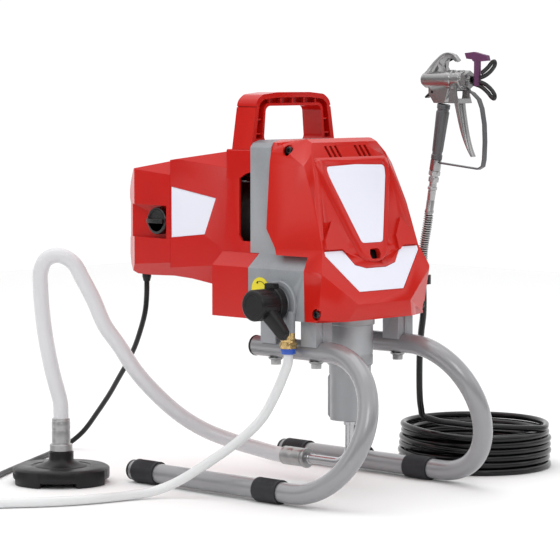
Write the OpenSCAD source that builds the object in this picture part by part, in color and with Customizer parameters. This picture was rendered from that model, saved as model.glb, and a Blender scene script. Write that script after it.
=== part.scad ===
// Airless paint sprayer on a bent-tube stand: gearbox casting, shells, motor and
// crank drive, piston pump, valves, hoses and spray gun.
// +Z is up and the floor is z = 0. The nose of the machine faces -Y, its tail +Y.
// Body parts are drawn from the underside of the gearbox casting, see on_base().

/* [Stand] */
// Outside diameter of the stand tubes
tube_d = 25.4; // [22:0.1:28]
// Wall thickness of the stand tubes
tube_wall = 1.6; // [1:0.1:3]
// Spacing of the two lower tubes, centre to centre
stand_low_w = 277; // [250:1:310]
// Spacing of the two upper tubes, centre to centre
stand_top_w = 150; // [144:1:156]
// Radius of the bend at the front of each runner, at the tube's centre
bend_r = 90; // [80:1:100]
// Rear end of the lower tubes
low_end_y = 138; // [100:1:170]
// Rear end of the upper tubes
top_end_y = -22; // [-40:1:0]
// Thickness of the rubber foot bands
pad_t = 2.5; // [2:0.1:3]

/* [Casting] */
// Width of the upper half of the body
upper_w = 156; // [150:1:160]
// Width of the gearbox block below it
block_w = 196; // [190:1:200]
// Height of the gearbox block's side faces
block_h = 62; // [56:1:66]
// Height of the body above the casting's underside
body_h = 221.5; // [216:0.5:226]
// Height of the motor shaft above the casting's underside
motor_z = 118.5; // [116:0.5:121]

/* [Shells] */
// Wall thickness of the moulded covers
wall = 3; // [2:0.5:4]
// Rear end of the tail cap
tail_y = 250; // [246:1:256]
// Height of the carry handle above its seat
handle_h = 71.5; // [60:0.5:80]

/* [Drive and pump] */
// Teeth of the motor pinion
pinion_teeth = 13; // [13:1:13]
// Teeth of the drive gear
gear_teeth = 39; // [39:1:39]
// Gear module, pitch diameter over teeth
gear_module = 2; // [1.9:0.05:2]
// Throw of the crank pin, half of the piston stroke
crank_r = 8; // [6:0.5:8]
// Pump axis, distance in front of the origin
pump_y = -112; // [-113:0.5:-111]
// Diameter of the pump's upper cylinder
cylinder_d = 58; // [54:1:60]
// Diameter of the pump's lower body
pump_d = 50; // [46:1:52]

/* [Hoses and cord] */
// Outside diameter of the suction hose
suction_d = 20; // [18:0.5:22]
// Outside diameter of the return tube
return_d = 12; // [10:0.5:12]
// Outside diameter of the paint hose
hose_d = 8.5; // [7.5:0.1:8.5]
// Diameter of the mains cord
cord_d = 7; // [6:0.1:7]

/* [Gun] */
// Side of the machine at which the gun stands
gun_x = 118; // [118:1:119]
// Backward lean of the gun's handle, in degrees
handle_tilt = 10; // [9:0.5:11]

/* [Hidden] */
$fn = 48;

gap = 0.3;
tube_r = tube_d / 2;
pad_r = tube_r + pad_t;
tube_z = pad_r;
lean = asin((stand_low_w - stand_top_w) / 2 / (2 * bend_r));
top_z = tube_z + 2 * bend_r * cos(lean);
bend_y = bend_r - 237;
foot_ys = [-125, -55];
pad_ys = [-108, 111];
foot_h = 37.9;
base_z = top_z + foot_h;
slope_h = 17;

// seams between the casting and the shells
front_seam_y = -49;
rear_seam_y = -13;
block_front_y = -126;
block_rear_y = -29;
tail_seam_y = 142;

gear_drop = gear_module * (pinion_teeth + gear_teeth) / 2;
gear_z = motor_z - gear_drop;
gear_y = -96;
gear_t = 12;
shaft_r = 5;
axle_r = 8;
run_gap = 0.05;

valve_y = -86;
valve_z = 20.5;
drain_x = -101;
drain_y = -105;
knob_y = 171;
knob_z = 111;
knob_seat_x = 58;
outlet_turn = 40;
outlet_z = -100;
pipe_r = 6;
pipe_z = 34;
pipe_bend = 24;
sleeve_r = 12;
sleeve_y = [-39, 2];
strainer_at = [-210, 200, 0];
gland_at = [-45, 215, 250];

gun_top = [gun_x, -164, 488];
spray_z = 517.5;
trigger_at = [-190, 508];
lock_at = [-150, 502];
tip_y = -219;

// routes of the hoses and the cord, from the end that is fixed to the machine
cord_route = [[-45, 215, 250], [-45, 215, 240], [-42, 220, 217], [-37, 231, 196],
    [-24, 265, 152], [-11, 303, 118], [2, 344, 82], [11, 388, 44], [11, 404, 28],
    [6, 416, 16], [-4, 421, 8], [-15, 418.5, 4.5], [-28, 412.5, 3.5], [-137, 348, 3.5],
    [-203, 311, 3.5], [-275, 267, 3.5], [-310, 256, 3.5], [-345, 254, 3.5]];
plug_route = [[-345, 341.5, 10.5], [-328, 349, 14], [-312, 350, 16], [-300, 350, 16]];
suction_route = [[0, 2, 34], [0, 18, 34], [-6, 40, 38], [-24, 70, 47], [-50, 99, 62],
    [-78, 117, 83], [-108, 132, 113], [-133, 143, 144], [-152, 152, 176],
    [-167, 163, 203], [-178, 172, 236], [-188, 180, 261], [-198, 189, 284],
    [-211, 200, 293], [-223, 210, 289], [-229, 215, 275], [-229, 216, 250],
    [-226, 213, 200], [-219, 207, 147], [-210.5, 200.5, 104], [-210, 200, 93.5], [-210, 200, 83]];
return_route = [[-101, -102, 180.5], [-101, -102, 171], [-103.5, -97, 155], [-110, -88, 129],
    [-121, -76, 100], [-139, -56, 73], [-178, -13, 32],
    [-196, 4, 18], [-218, 18, 9], [-250, 30, 6], [-288, 38, 6], [-320, 48, 6],
    [-352, 64, 6], [-396, 95, 6], [-425, 115, 6]];
lead_route = [[41.4, -77.3, 121.5], [56.7, -64.4, 121.5], [75, -49, 109], [92, -35, 88],
    [107, -24, 66], [122, -14, 46], [138, -6, 33.5], [153, -4, 27], [165, -5, 14],
    [176, -9, 6.5], [186, -13, 4.3], [197, -12, 4.3], [210, -5, 4.3]];
riser_route = [[118, -139.2, 347], [118, -136.2, 330], [118, -132, 311],
    [118, -129.5, 292], [119, -129, 262], [119.5, -129, 247], [121, -128, 232],
    [126, -123, 214], [134, -113, 194], [145, -101, 168], [152, -94, 147],
    [164, -84, 105], [171, -80, 88],
    [179, -79, 74], [185, -85, 66], [187, -97, 64.4]];
coil_at = [-345, 300, 0];
coil_r = [31, 45.5];
coil_h = 14;
hose_coil_at = [280, -80, 0];
hose_coil_r = [76, 103];
hose_coil_h = 60;

// ---- helpers ----

function unit(v) = v / norm(v);
function heading(p, i) = unit(p[min(i + 1, len(p) - 1)] - p[max(i - 1, 0)]);
function carried(n, t) = unit(n - (n * t) * t);

// Round tube of outside diameter d swept along a route, with flat ends
module swept_tube(route, d, sides = 8) {
    last = len(route) - 1;
    start = carried(abs(heading(route, 0)[2]) > 0.9 ? [1, 0, 0] : [0, 0, 1], heading(route, 0));
    normals = [for (i = 0, n = start; i <= last;
                    i = i + 1, n = carried(n, heading(route, min(i, last)))) n];
    rings = [for (i = [0 : last], k = [0 : sides - 1])
        route[i] + d / 2 * (cos(k * 360 / sides) * normals[i]
            + sin(k * 360 / sides) * cross(heading(route, i), normals[i]))];
    walls = [for (i = [0 : last - 1], k = [0 : sides - 1])
        let (a = i * sides + k, b = i * sides + (k + 1) % sides)
            each [[a, a + sides, b + sides], [a, b + sides, b]]];
    caps = [[for (k = [0 : sides - 1]) k],
        [for (k = [0 : sides - 1]) (last + 1) * sides - 1 - k]];
    polyhedron(concat([for (p = rings) p]), concat(walls, caps));
}

module on_base() translate([0, 0, base_z]) children();

// Extrude a [y, z] outline between two x positions
module along_x(x0, x1) translate([x0, 0, 0]) rotate([90, 0, 90]) linear_extrude(x1 - x0) children();

// Extrude an [x, z] outline between two y positions
module along_y(y0, y1) translate([0, y1, 0]) rotate([90, 0, 0]) linear_extrude(y1 - y0) children();

module rod_x(r, x0, x1, y = 0, z = 0) translate([x0, y, z]) rotate([0, 90, 0]) cylinder(r = r, h = x1 - x0);
module rod_y(r, y0, y1, x = 0, z = 0) translate([x, y0, z]) rotate([-90, 0, 0]) cylinder(r = r, h = y1 - y0);
module rod_z(r, z0, z1, x = 0, y = 0) translate([x, y, z0]) cylinder(r = r, h = z1 - z0);
module box(lo, hi) translate(lo) cube(hi - lo);
module both_sides() { children(); mirror([1, 0, 0]) children(); }

// Strip of even thickness along a [y, z] line
module strip(line, t) {
    last = len(line) - 1;
    function across(i) = let (h = heading(line, i)) [-h[1], h[0]] * t / 2;
    polygon(concat([for (i = [0 : last]) line[i] + across(i)],
        [for (i = [last : -1 : 0]) line[i] - across(i)]));
}

// Gear blank with straight-sided teeth, first tooth on the +X axis
module gear_outline(teeth) {
    pitch = 360 / teeth;
    root_r = gear_module * (teeth / 2 - 1.15);
    tip_r = gear_module * (teeth / 2 + 0.8);
    polygon([for (i = [0 : teeth - 1], c = [[-0.28, root_r], [-0.12, tip_r], [0.12, tip_r], [0.28, root_r]])
        c[1] * [cos((i + c[0]) * pitch), sin((i + c[0]) * pitch)]]);
}

// ---- stand ----

module runner_path(r) {
    rod_y(r, bend_y, low_end_y);
    translate([0, 0, 2 * bend_r]) rod_y(r, bend_y, top_end_y);
    translate([0, bend_y, bend_r]) rotate([0, 90, 0]) rotate([0, 0, 180])
        rotate_extrude(angle = 180) translate([bend_r, 0]) circle(r = r);
}

module runner(side) {
    difference() {
        translate([side * stand_low_w / 2, 0, tube_z]) rotate([0, -side * lean, 0]) difference() {
            runner_path(tube_r);
            runner_path(tube_r - tube_wall);
            rod_y(tube_r - tube_wall, low_end_y - 2, low_end_y + 1);
            translate([0, 0, 2 * bend_r]) rod_y(tube_r - tube_wall, top_end_y - 2, top_end_y + 1);
        }
        for (y = foot_ys) rod_z(4.2, top_z - 20, top_z + 20, side * stand_top_w / 2, y);
    }
}

module left_runner() color("darkgray") runner(-1);
module right_runner() color("darkgray") runner(1);

module foot_pads() color("dimgray")
    for (side = [-1, 1], y = pad_ys) translate([side * stand_low_w / 2, y, tube_z])
        difference() {
            union() {
                rod_y(pad_r, -20, 20);
                box([-4, -20, -pad_r], [4, 20, 0]);
            }
            rod_y(tube_r + 0.02, -21, 21);
        }

module tube_cap() {
    rod_y(tube_r + 0.4, 0.02, 4);
    rod_y(tube_r - tube_wall - 0.05, -10, 0.02);
}

module tube_caps() color("black")
    for (side = [-1, 1]) {
        translate([side * stand_low_w / 2, low_end_y, tube_z]) tube_cap();
        translate([side * stand_top_w / 2, top_end_y, top_z]) tube_cap();
    }

// Four bolts with flange nuts that hold the casting's feet to the upper tubes
module stand_fasteners() color("silver")
    for (side = [-1, 1], y = foot_ys) translate([side * stand_top_w / 2, y, top_z]) {
        rod_z(4, -21, 37.2);
        rod_z(8, -tube_r - 2.4, -tube_r - 0.1);
        translate([0, 0, -tube_r - 9]) cylinder(r = 7.2, h = 6.6, $fn = 6);
    }

// ---- casting and shells ----

function mirrored(p) = concat(p, [for (i = [len(p) - 1 : -1 : 0]) [-p[i][0], p[i][1]]]);

block_outline = mirrored([[block_w / 2, 0], [block_w / 2, block_h], [upper_w / 2, block_h + slope_h]]);
plate_outline = mirrored([[upper_w / 2, block_h + slope_h], [upper_w / 2, body_h - 10],
    [upper_w / 2 - 4, body_h - 4.5], [upper_w / 2 - 16, body_h - 1]]);

module gearbox_frame() color("darkgray") on_base() difference() {
    union() {
        along_y(front_seam_y, rear_seam_y - 0.1) polygon(plate_outline);
        along_y(block_front_y, block_rear_y) polygon(block_outline);
        along_x(-upper_w / 2, upper_w / 2) polygon([[front_seam_y, block_h + slope_h],
            [front_seam_y, block_h + slope_h + 32], [-72, block_h + slope_h]]);
        rod_y(24, -80, front_seam_y, 0, motor_z);
        rod_y(27, -80, front_seam_y, 0, gear_z);
        both_sides() for (y = foot_ys)
            box([stand_top_w / 2 - 14, y - 13, -foot_h + 6], [stand_top_w / 2 + 14, y + 13, 1]);
        rod_x(29, -block_w / 2 - 3, -block_w / 2 + 1, valve_y, valve_z);
        rod_z(5, -14.5, 12, drain_x, drain_y - 2);
    }
    along_y(block_front_y - 1, -80) difference() {
        polygon(mirrored([[block_w / 2 - 8, 10], [block_w / 2 - 8, block_h],
            [upper_w / 2 - 8, block_h + slope_h + 1]]));
    }
    both_sides() box([upper_w / 2 - 30, -80.1, block_h + slope_h - 1], [upper_w / 2 - 7.8, -45, 130]);
    along_x(-upper_w / 2 + 8, upper_w / 2 - 8)
        polygon([[-130, block_h + slope_h - 2], [-130, 130], [-80.1, 130], [-80.1, block_h + slope_h - 2]]);
    box([-100, -150, -0.3], [100, block_front_y, 2]);
    both_sides() for (y = foot_ys) {
        rod_y(tube_r + 0.2, y - 14, y + 14, stand_top_w / 2, -foot_h);
        rod_z(4.05, -foot_h, -0.5, stand_top_w / 2, y);
    }
    rod_y(shaft_r + 1, -81, rear_seam_y + 1, 0, motor_z);
    rod_y(11.02, -81, -73, 0, motor_z);
    rod_y(11.02, -24, rear_seam_y + 1, 0, motor_z);
    rod_y(axle_r + 1, -81, -30, 0, gear_z);
    rod_y(16.02, -81, -71, 0, gear_z);
    rod_y(16.02, -44, -33, 0, gear_z);
    rod_z(15.3, -1, 11, 0, pump_y);
    rod_x(6.02, -block_w / 2 - 4, -block_w / 2 + 16, valve_y, valve_z);
}

// Outline of the front cover from the side, from the front, and from above
cover_side = [[front_seam_y - gap, body_h], [-92, body_h + 1.5], [-102, body_h - 3], [-115, 192.5],
    [-147.5, 89], [-171, 21], [-163, 0], [block_front_y - gap, 0],
    [block_front_y - gap, block_h + slope_h + gap], [-72, block_h + slope_h + gap],
    [front_seam_y - gap, block_h + slope_h + 32]];
cover_front = mirrored([[97, 0], [99, block_h], [88, 88], [80.5, 192], [78, 206], [74, 218], [56, 223]]);
cover_plan = mirrored([[100, -40], [100, -150], [98.5, -158], [85, -164], [54, -175]]);

// planes that take off the cover's corners: a point on each and the way it faces
cover_planes = [[[80.5, -109, 190.5], [0.733, -0.263, 0.628]], [[80.5, -109, 190.5], [0.458, -0.797, 0.393]],
    [[99, -158, 62.5], [0.363, -0.918, -0.159]]];

module beyond_plane(p, n) translate(p) rotate([0, acos(n[2] / norm(n)), atan2(n[1], n[0])])
    translate([-150, -150, 0]) cube([300, 300, 150]);

module cover_block(inset) difference() {
    intersection() {
        along_x(-100, 100) offset(delta = -inset) polygon(cover_side);
        along_y(-180, -40) offset(delta = -inset) polygon(cover_front);
        linear_extrude(240) offset(delta = -inset) polygon(cover_plan);
    }
    both_sides() for (c = cover_planes) beyond_plane(c[0] - inset * unit(c[1]), c[1]);
}

// Place a flat outline on one of the sloped faces of the cover's nose
module on_nose(low, high) translate([0, low[0], low[1]])
    rotate([atan2(high[0] - low[0], high[1] - low[1]) * -1 + 90, 0, 0]) translate([0, 0, 0.05]) children();

module vent_slots() on_nose([-115, 192.5], [-102, body_h - 3]) for (x = [-36, -27, -18, 18, 27, 36])
    translate([x, 16, 0]) rotate([0, 0, 14]) cube([4.4, 17, 16], center = true);

cover_screw_at = [[74, -76, 209], [98, -146, 10]];

module front_cover() color("firebrick") on_base() difference() {
    cover_block(0);
    difference() {
        cover_block(wall);
        both_sides() for (p = cover_screw_at) rod_x(6, p[0] - 16, p[0], p[1], p[2]);
    }
    along_x(-block_w / 2 + 9, block_w / 2 - 9)
        polygon([[-120, 8], [-120, 78], [-136, 78], [-136, 8]]);
    along_x(-upper_w / 2 + 6, upper_w / 2 - 6) polygon([[-122, 70], [-122, 95], [-90, 110], [-62, 213],
        [-40, 213], [-40, 100], [-72, 70]]);
    vent_slots();
    translate([0, -150, 84]) rotate([90, 0, 0]) scale([1, 0.65, 1]) cylinder(r = 9.5, h = 24, center = true);
    both_sides() for (p = cover_screw_at) {
        rod_x(7, p[0] - 4, p[0] + 10, p[1], p[2]);
        rod_x(2.6, p[0] - 20, p[0], p[1], p[2]);
    }
}

module window_panel() color("white") on_base() on_nose([-147.5, 89], [-115, 192.5])
    linear_extrude(1.4) offset(r = 7) offset(delta = -7)
        polygon(mirrored([[19, 5], [23, 12], [52, 94], [53, 104], [0, 105.5]]));

module vee_panel() color("white") on_base() on_nose([-171, 21], [-147.5, 89])
    linear_extrude(1.4)
        polygon(mirrored([[40, 16], [85, 64], [85, 69.5], [53, 69.5], [37, 50], [18, 45], [0, 44]]));

module cover_screws() color("black") on_base() both_sides() for (p = cover_screw_at) {
    rod_x(4.6, p[0] - 4, p[0], p[1], p[2]);
    rod_x(2.4, p[0] - 16, p[0] - 4, p[1], p[2]);
}

housing_side = [[rear_seam_y, 60], [rear_seam_y, 208.5], [33, 208.5], [34, 206], [tail_seam_y, 191.5],
    [tail_seam_y, 40.5], [110, 38.5], [36, 27.5], [30, 27.5], [30, 60]];
housing_front = mirrored([[50, 20], [upper_w / 2, 62], [upper_w / 2, 184], [60, 210]]);
housing_plan = mirrored([[upper_w / 2, -14], [upper_w / 2, 20], [71, tail_seam_y]]);

module housing_body(inset, stretch) intersection() {
    along_x(-100, 100) offset(delta = -inset) polygon([for (p = housing_side)
        [p[0] >= tail_seam_y ? p[0] + stretch : p[0] <= rear_seam_y ? p[0] - stretch : p[0], p[1]]]);
    along_y(-20 - stretch, tail_seam_y + 10) offset(delta = -inset) polygon(housing_front);
    linear_extrude(240) offset(delta = -inset) polygon([for (p = housing_plan)
        [p[0], p[1] >= tail_seam_y ? p[1] + stretch : p[1] <= -14 ? p[1] - stretch : p[1]]]);
}

module rear_housing() color("firebrick") on_base() difference() {
    union() {
        housing_body(0, 0);
        along_y(block_rear_y + gap, 36) polygon(mirrored([[block_w / 2, -2], [block_w / 2, block_h],
            [upper_w / 2 + 1, block_h + slope_h - gap]]));
        along_y(rear_seam_y, 30) polygon(mirrored([[upper_w / 2, 170], [upper_w / 2, 207],
            [upper_w / 2 - 1.5, 208.5]]));
    }
    housing_body(wall, 10);
    along_y(block_rear_y - 1, 36 - wall) polygon(mirrored([[block_w / 2 - wall, -2 + wall],
        [block_w / 2 - wall, block_h - 1], [upper_w / 2 - wall, block_h + slope_h - 2]]));
    both_sides() along_x(60, 90) polygon([[-20, 93], [-20, 182], [-4, 178], [7, 172], [7, 100], [2, 93]]);
    both_sides() side_plate(2.2, 2, 0.3);
}

// Recessed panel on the sloping flank of the rear housing
module side_plate(inner, outer, grow) translate([upper_w / 2, 20, 0])
    rotate([0, 0, atan2(7, tail_seam_y - 20)]) translate([0, -20, 0]) along_x(-inner, outer)
        offset(delta = grow) polygon([[52, 145], [74, 98], [140, 91], [140, 157]]);

module side_panels() color("white") on_base() both_sides() side_plate(2, -0.6, 0);

module handle_ring() polygon(mirrored([[80, 190], [67, 198 + handle_h], [56, 206 + handle_h],
    [30, 208.5 + handle_h]]));

module carry_handle() color("firebrick") on_base() difference() {
    along_y(rear_seam_y, 21) difference() {
        offset(r = 14) offset(delta = -14) handle_ring();
        offset(r = 8) offset(delta = -8)
            polygon(mirrored([[54, 217], [50, 191.5 + handle_h]]));
        polygon([[-90, 180], [90, 180], [90, 208.5], [-90, 208.5]]);
    }
    along_y(rear_seam_y - 1, -4) difference() {
        offset(r = 5) offset(delta = -11.5) handle_ring();
        offset(r = 9.5) offset(delta = -6)
            polygon(mirrored([[54, 217], [50, 191.5 + handle_h]]));
        polygon([[-80, 200], [80, 200], [80, 222], [-80, 222]]);
    }
}

tail_side = [[tail_seam_y + gap, 40], [tail_seam_y + gap, 191.4], [221, 178], [242, 160], [tail_y, 148],
    [tail_y, 138], [243, 131.5], [243, 88.5], [247, 84], [248, 64], [240, 50], [218, 39], [190, 38.5]];
tail_front = mirrored([[44, 20], [71, 58], [71, 172], [54, 196]]);
tail_plan = mirrored([[71, tail_seam_y], [67, 215], [42, tail_y + 1]]);

module tail_body(inset, stretch) intersection() {
    along_x(-100, 100) offset(delta = -inset) polygon([for (p = tail_side)
        [p[0] < tail_seam_y + 1 ? p[0] - stretch : p[0], p[1]]]);
    along_y(tail_seam_y - 10 - stretch, tail_y + 5) offset(delta = -inset) polygon(tail_front);
    linear_extrude(240) offset(delta = -inset) polygon([for (p = tail_plan)
        [p[0], p[1] <= tail_seam_y ? p[1] - stretch : p[1]]]);
}

module tail_cap() color("firebrick") on_base() difference() {
    tail_body(0, 0);
    difference() {
        tail_body(wall, 10);
        both_sides() box([knob_seat_x - wall, 146, 85.5], [90, tail_y, 134.5]);
    }
    both_sides() box([knob_seat_x, 150, 88.5], [90, tail_y + 2, 131.5]);
    rod_x(4, -knob_seat_x - 3, -knob_seat_x + 6, knob_y, knob_z);
    box([knob_seat_x - 6, knob_y - 9.6, knob_z - 12], [knob_seat_x + 1, knob_y + 9.6, knob_z + 12]);
    rod_z(6.2, 30, 60, gland_at[0], gland_at[1]);
}

// ---- motor and drive ----

module motor_can() color("gray") on_base() difference() {
    rod_y(46, rear_seam_y + 0.2, 104, 0, motor_z);
    rod_y(43, rear_seam_y + 3, 100, 0, motor_z);
    rod_y(shaft_r + 1, -20, 110, 0, motor_z);
    rod_y(11.02, 95, 103, 0, motor_z);
    rod_y(11.02, rear_seam_y, -9, 0, motor_z);
}

// Wound rotor, commutator and shaft with its cut pinion
module armature() color("peru") on_base() translate([0, 0, motor_z]) {
    rod_y(shaft_r, gear_y - 2, 122);
    rod_y(31, 14, 74);
    rod_y(14, 78, 92);
    translate([0, gear_y + gear_t, 0]) rotate([90, 0, 0])
        rotate([0, 0, -90 + 180 / pinion_teeth]) linear_extrude(gear_t) gear_outline(pinion_teeth);
}

module motor_fan() color("white") on_base() translate([0, 0, motor_z]) difference() {
    union() {
        rod_y(11, 107, 120);
        rod_y(40, 107, 109);
        for (a = [0 : 40 : 320]) rotate([0, a, 0]) translate([10, 109, -1]) cube([28, 9, 2]);
    }
    rod_y(shaft_r + 0.01, 106, 121);
}

module bearing(y, x_in, z, r) translate([0, y, z]) difference() {
    rod_y(r, 0, r > 12 ? 9 : 7);
    rod_y(x_in + run_gap, -1, 12);
}

// Two ball bearings on the motor shaft and two on the crank axle
module ball_bearings() color("silver") on_base() {
    bearing(-80, shaft_r, motor_z, 11);
    bearing(95.5, shaft_r, motor_z, 11);
    bearing(-80, axle_r, gear_z, 16);
    bearing(-43.5, axle_r, gear_z, 16);
}

// Reduction gear with its axle and crank pin
module drive_gear() color("lightsteelblue") on_base() translate([0, 0, gear_z]) {
    difference() {
        union() {
            translate([0, gear_y + gear_t, 0]) rotate([90, 0, 0]) rotate([0, 0, 90])
                linear_extrude(gear_t) gear_outline(gear_teeth);
            rod_y(13, gear_y + gear_t, gear_y + gear_t + 3);
        }
        for (a = [45 : 90 : 315]) rotate([0, a, 0]) rod_y(6, gear_y - 1, gear_y + gear_t + 1, 23);
    }
    rod_y(axle_r, gear_y + gear_t, -34);
    rod_y(5, pump_y - 6, gear_y + 1, crank_r);
}

// Yoke that the crank pin drives up and down, with the pump's piston rod
module piston_yoke() color("silver") on_base() translate([0, pump_y, gear_z]) {
    difference() {
        box([-crank_r - 13, -7, -2 * crank_r - 13], [crank_r + 13, 7, 2 * crank_r + 13]);
        box([-crank_r - 7, -8, -2 * crank_r - 7], [crank_r + 7, 8, 2 * crank_r + 7]);
    }
    rod_z(7, -gear_z - 80, -2 * crank_r - 12);
}

// ---- pump ----

module pump_cylinder() color("darkgray") on_base() difference() {
    union() {
        rod_z(cylinder_d / 2, -61, -0.1, 0, pump_y);
        rod_z(cylinder_d / 2 + 2, -10, -0.1, 0, pump_y);
    }
    rod_z(9, -62, 1, 0, pump_y);
    rod_z(13, -20, 1, 0, pump_y);
}

module toward_outlet() translate([0, pump_y, outlet_z]) rotate([0, 90, outlet_turn]) children();

module pump_body() color("lightgray") on_base() difference() {
    union() {
        rod_z(pump_d / 2, -130.5, -61.1, 0, pump_y);
        rod_z(pump_d / 2 + 1.5, -72, -61.1, 0, pump_y);
        toward_outlet() cylinder(r = 11, h = pump_d / 2 + 1);
    }
    rod_z(11, -120, -60, 0, pump_y);
    rod_z(pipe_r + 0.05, -131, -118, 0, pump_y);
    toward_outlet() cylinder(r = 4.5, h = 40);
    toward_outlet() translate([0, 0, 18]) cylinder(r = 6.05, h = 20);
}

module packing_nut() color("goldenrod") on_base() difference() {
    union() {
        rod_z(12.9, -19, 1, 0, pump_y);
        translate([0, pump_y, 0.2]) cylinder(r = 15, h = 9, $fn = 6);
    }
    rod_z(7 + run_gap, -20, 12, 0, pump_y);
}

module intake_seat() color("silver") on_base() difference() {
    rod_z(10.95, -117.9, -111, 0, pump_y);
    rod_z(4, -119, -110, 0, pump_y);
}

module intake_ball() color("silver") on_base()
    translate([0, pump_y, -111 + sqrt(5.5 * 5.5 - 16) + 0.05]) sphere(r = 5.5);

module inlet_pipe() color("silver") {
    bend_z = pipe_z + pipe_bend;
    difference() {
        union() {
            rod_z(pipe_r, bend_z, base_z - 118.1, 0, pump_y);
            translate([0, pump_y + pipe_bend, bend_z]) rotate([0, 90, 0])
                rotate_extrude(angle = -90) translate([pipe_bend, 0]) circle(r = pipe_r);
            rod_y(pipe_r, pump_y + pipe_bend, sleeve_y[1] - 4, 0, pipe_z);
        }
        rod_z(4.4, bend_z + 1, base_z - 117, 0, pump_y);
        rod_y(4.4, pump_y + pipe_bend + 1, sleeve_y[1], 0, pipe_z);
    }
}

module outlet_fitting() color("silver") on_base() toward_outlet() difference() {
    union() {
        translate([0, 0, 18.5]) cylinder(r = 6, h = 9);
        translate([0, 0, 26.2]) cylinder(r = 10.5, h = 8, $fn = 6);
        translate([0, 0, 34]) cylinder(r = 6.6, h = 12);
    }
    translate([0, 0, -1]) cylinder(r = 3, h = 60);
}

// ---- priming valve, controls ----

module valve_stem() color("silver") on_base() {
    rod_x(6, -block_w / 2 - 8, -block_w / 2 + 15, valve_y, valve_z);
    rod_x(13, -block_w / 2 - 7, -block_w / 2 - 3.05, valve_y, valve_z);
    rod_x(5, -block_w / 2 - 26, -block_w / 2 - 8, valve_y, valve_z);
}

module prime_knob() color("black") on_base() translate([0, valve_y, valve_z]) difference() {
    union() {
        rod_x(21.5, -block_w / 2 - 20, -block_w / 2 - 8.3);
        rod_x(19.8, -block_w / 2 - 50, -block_w / 2 - 20);
        rotate([45, 0, 0]) box([-block_w / 2 - 36, -53, -9], [-block_w / 2 - 24, 0, 9]);
        box([-block_w / 2 - 20, -8, 18], [-block_w / 2 - 11, 8, 26]);
    }
    rod_x(5.05, -block_w / 2 - 27, -block_w / 2 - 8);
}

module flow_decal() color("gold") on_base() difference() {
    rod_x(15, -block_w / 2 - 0.7, -block_w / 2 - 0.05, -50.6, 36);
    rod_x(29.3, -block_w / 2 - 2, -block_w / 2 + 1, valve_y, valve_z);
}

module drain_fitting() color("goldenrod") on_base() difference() {
    union() {
        rod_z(5, -22, -14.6, drain_x, drain_y - 2);
        translate([drain_x, drain_y + 3, -34]) cylinder(r = 11.5, h = 12.4, $fn = 6);
    }
    rod_z(3.5, -35, -24, drain_x, drain_y + 3);
}

module drain_collet() color("royalblue") on_base() difference() {
    rod_z(10, -41, -34.05, drain_x, drain_y + 3);
    rod_z(4, -42, -33, drain_x, drain_y + 3);
}

module pressure_knob() color("black") on_base() difference() {
    union() {
        rod_x(17.8, -knob_seat_x - 11, -knob_seat_x - 0.4, knob_y, knob_z);
        box([-knob_seat_x - 15, knob_y - 17, knob_z - 3], [-knob_seat_x - 10.8, knob_y + 17, knob_z + 3]);
    }
    rod_x(3.05, -knob_seat_x - 7, -knob_seat_x, knob_y, knob_z);
}

// Control board with the pressure potentiometer and its spindle
module control_board() color("seagreen") on_base() {
    box([-50, 148, 76], [-48, 200, 142]);
    rod_x(9, -knob_seat_x + 4.2, -49.9, knob_y, knob_z);
    rod_x(3, -knob_seat_x - 6, -knob_seat_x + 5, knob_y, knob_z);
    rod_x(10, -48.1, -20, 186, 96);
}

// Rocker on a cross pin, tilted to its off side
module power_switch() color("dimgray") on_base() translate([knob_seat_x + 1, knob_y, knob_z])
    rotate([0, -8, 0]) {
        along_y(-9, 9) polygon([[-3, -9], [2.5, -10.5], [1.5, 0], [2.5, 10.5], [-3, 9], [-4, 0]]);
        rod_y(1.2, -9.4, 9.4);
    }

// ---- mains cord ----

module cord_gland() color("black") translate([gland_at[0], gland_at[1], 0]) difference() {
    union() {
        rod_z(6, gland_at[2] + 6, gland_at[2] + 20);
        translate([0, 0, gland_at[2]]) cylinder(r1 = 4.4, r2 = 6, h = 6);
        rod_z(7.5, base_z + 45.2, base_z + 48);
    }
    rod_z(2.5, gland_at[2] + 2, gland_at[2] + 30);
}

module power_cord() color("black") {
    swept_tube(cord_route, cord_d);
    swept_tube(plug_route, cord_d);
}

module cord_coil() color("black") translate(coil_at) rotate_extrude()
    translate([coil_r[0], 0]) square([coil_r[1] - coil_r[0], coil_h]);

// Plain round plug with two pins, lying beside the coiled cord
module mains_plug() color("black") translate([-300, 350, 16]) {
    rotate([0, 90, 0]) cylinder(r1 = 5, r2 = 7, h = 14);
    rotate([0, 90, 0]) translate([0, 0, 13]) cylinder(r1 = 9, r2 = 15.8, h = 10);
    rod_x(15.8, 23, 42);
    for (y = [-9.5, 9.5]) rod_x(2.4, 41, 61, y);
}

// ---- suction and return ----

module suction_hose() color("gainsboro") swept_tube(suction_route, suction_d, 10);
module return_tube() color("whitesmoke") swept_tube(return_route, return_d);

// Crimped steel sleeves at both ends of the suction hose
module crimp_sleeves() color("silver") {
    difference() {
        union() {
            rod_y(sleeve_r, sleeve_y[0], sleeve_y[1] - 0.05, 0, pipe_z);
            rod_y(sleeve_r + 1.2, sleeve_y[0], sleeve_y[0] + 4, 0, pipe_z);
        }
        rod_y(pipe_r + 0.05, sleeve_y[0] - 1, sleeve_y[1] - 3.9, 0, pipe_z);
    }
    translate(strainer_at) {
        rod_z(sleeve_r, 50, 82.95);
        rod_z(14.7, 41.2, 50);
    }
}

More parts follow.
